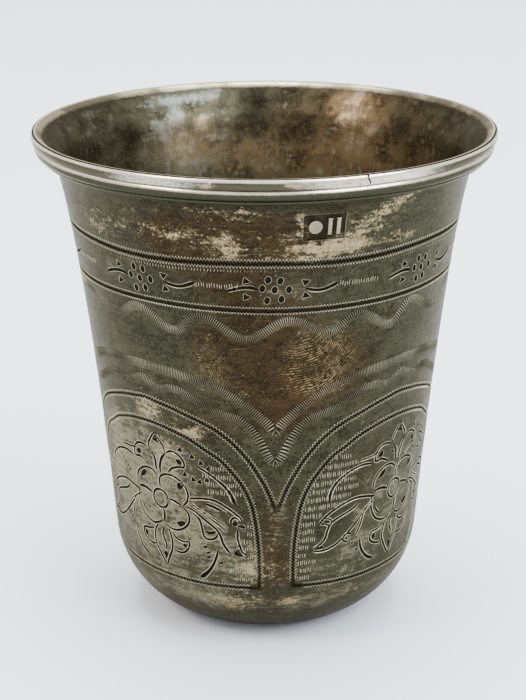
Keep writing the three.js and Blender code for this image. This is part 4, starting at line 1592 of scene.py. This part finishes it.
@dataclass(frozen=True)
class PaleTable:
    """Plain pale surface under the cup."""

    colour: Colour = (0.86, 0.91, 1.0)

    def make(self) -> bpy.types.Material:
        """Builds the material."""
        return Graph("pale table").finish(Base_Color=self.colour, Roughness=0.75)


# ---------------------------------------------------------------------- studio


@dataclass(frozen=True)
class SoftBox:
    """A square area light that faces the cup."""

    name: str
    place: Place
    size: float
    power: float
    colour: Colour = (1.0, 1.0, 1.0)

    def light(self, aim: Vector) -> None:
        """Hangs the light, turned to a point."""
        lamp = bpy.data.lights.new(self.name, "AREA")
        lamp.size, lamp.energy, lamp.color = self.size, self.power, self.colour
        hung = put(self.name, lamp)
        hung.location = self.place
        hung.rotation_euler = (aim - Vector(self.place)).to_track_quat("-Z", "Y").to_euler()


@dataclass(frozen=True)
class Studio:
    """Floor, light and camera, metres."""

    eye: Place = (0.0, -0.2325, 0.11806)
    pitch: float = 19.433
    yaw: float = -0.077
    roll: float = -0.238
    lens: float = 91.02
    sensor: float = 36.0
    sky: Colour = (0.95, 0.94, 0.92)
    sky_strength: float = 1.3
    floor_size: float = 3.0
    floor_gap: float = 0.0002
    aim: Place = (0.0, 0.0, 0.035)
    boxes: tuple[SoftBox, ...] = (
        SoftBox("left window", (-0.45, -0.29, 0.58), 0.24, 3.6, (1.0, 0.86, 0.78)),
        SoftBox("right window", (0.42, -0.34, 0.56), 0.5, 8.0, (0.90, 0.95, 1.0)),
        SoftBox("top light", (0.0, 0.2, 1.3), 0.9, 39.0))

    def build(self) -> None:
        """Sets up everything round the cup."""
        self._floor()
        self._sky()
        for box in self.boxes:
            box.light(Vector(self.aim))
        self._camera()

    def _floor(self) -> None:
        """A wide flat floor, a hair under the base."""
        half = self.floor_size / 2
        mesh = bpy.data.meshes.new("floor")
        corners = [(-half, -half, 0), (half, -half, 0), (half, half, 0), (-half, half, 0)]
        mesh.from_pydata(corners, [], [(0, 1, 2, 3)])
        mesh.materials.append(PaleTable().make())
        floor = put("floor", mesh)
        floor.location.z = -self.floor_gap

    def _sky(self) -> None:
        """Even pale light from all round."""
        world = bpy.data.worlds.new("pale room")
        world.use_nodes = True
        back = next(node for node in world.node_tree.nodes if node.type == "BACKGROUND")
        back.inputs["Color"].default_value = (*self.sky, 1.0)
        back.inputs["Strength"].default_value = self.sky_strength
        bpy.context.scene.world = world

    def _camera(self) -> None:
        """A long lens a little above the lip."""
        data = bpy.data.cameras.new("camera")
        data.lens, data.sensor_width, data.sensor_fit = self.lens, self.sensor, "AUTO"
        camera = put("camera", data)
        pitch, yaw, roll = (math.radians(value) for value in (self.pitch, self.yaw, self.roll))
        ahead = Vector((math.sin(yaw) * math.cos(pitch), math.cos(yaw) * math.cos(pitch), -math.sin(pitch)))
        level = Vector((math.cos(yaw), -math.sin(yaw), 0))
        above = level.cross(ahead)
        right = math.cos(roll) * level + math.sin(roll) * above
        up = -math.sin(roll) * level + math.cos(roll) * above
        turned = Matrix((right, up, -ahead)).transposed()
        camera.matrix_world = Matrix.Translation(self.eye) @ turned.to_4x4()
        bpy.context.scene.camera = camera


def main() -> None:
    """Builds the pieces, gives them their finishes and sets up the studio."""
    logging.basicConfig(level=logging.INFO, format="%(name)s: %(message)s")
    body = EngravedBody(BeakerForm()).build()
    body.data.materials.append(TarnishedSilver().make())
    wire = RimWire().build()
    wire.data.materials.append(RubbedAndHighlitSilver().make())
    for piece, node, slot in ((body, "beaker_body", "engraved_silver"), (wire, "rim_wire", "rim_silver")):
        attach(piece, "root")
        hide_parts(node)
    Studio().build()
    bpy.context.view_layer.update()


if __name__ == "__main__":
    main()
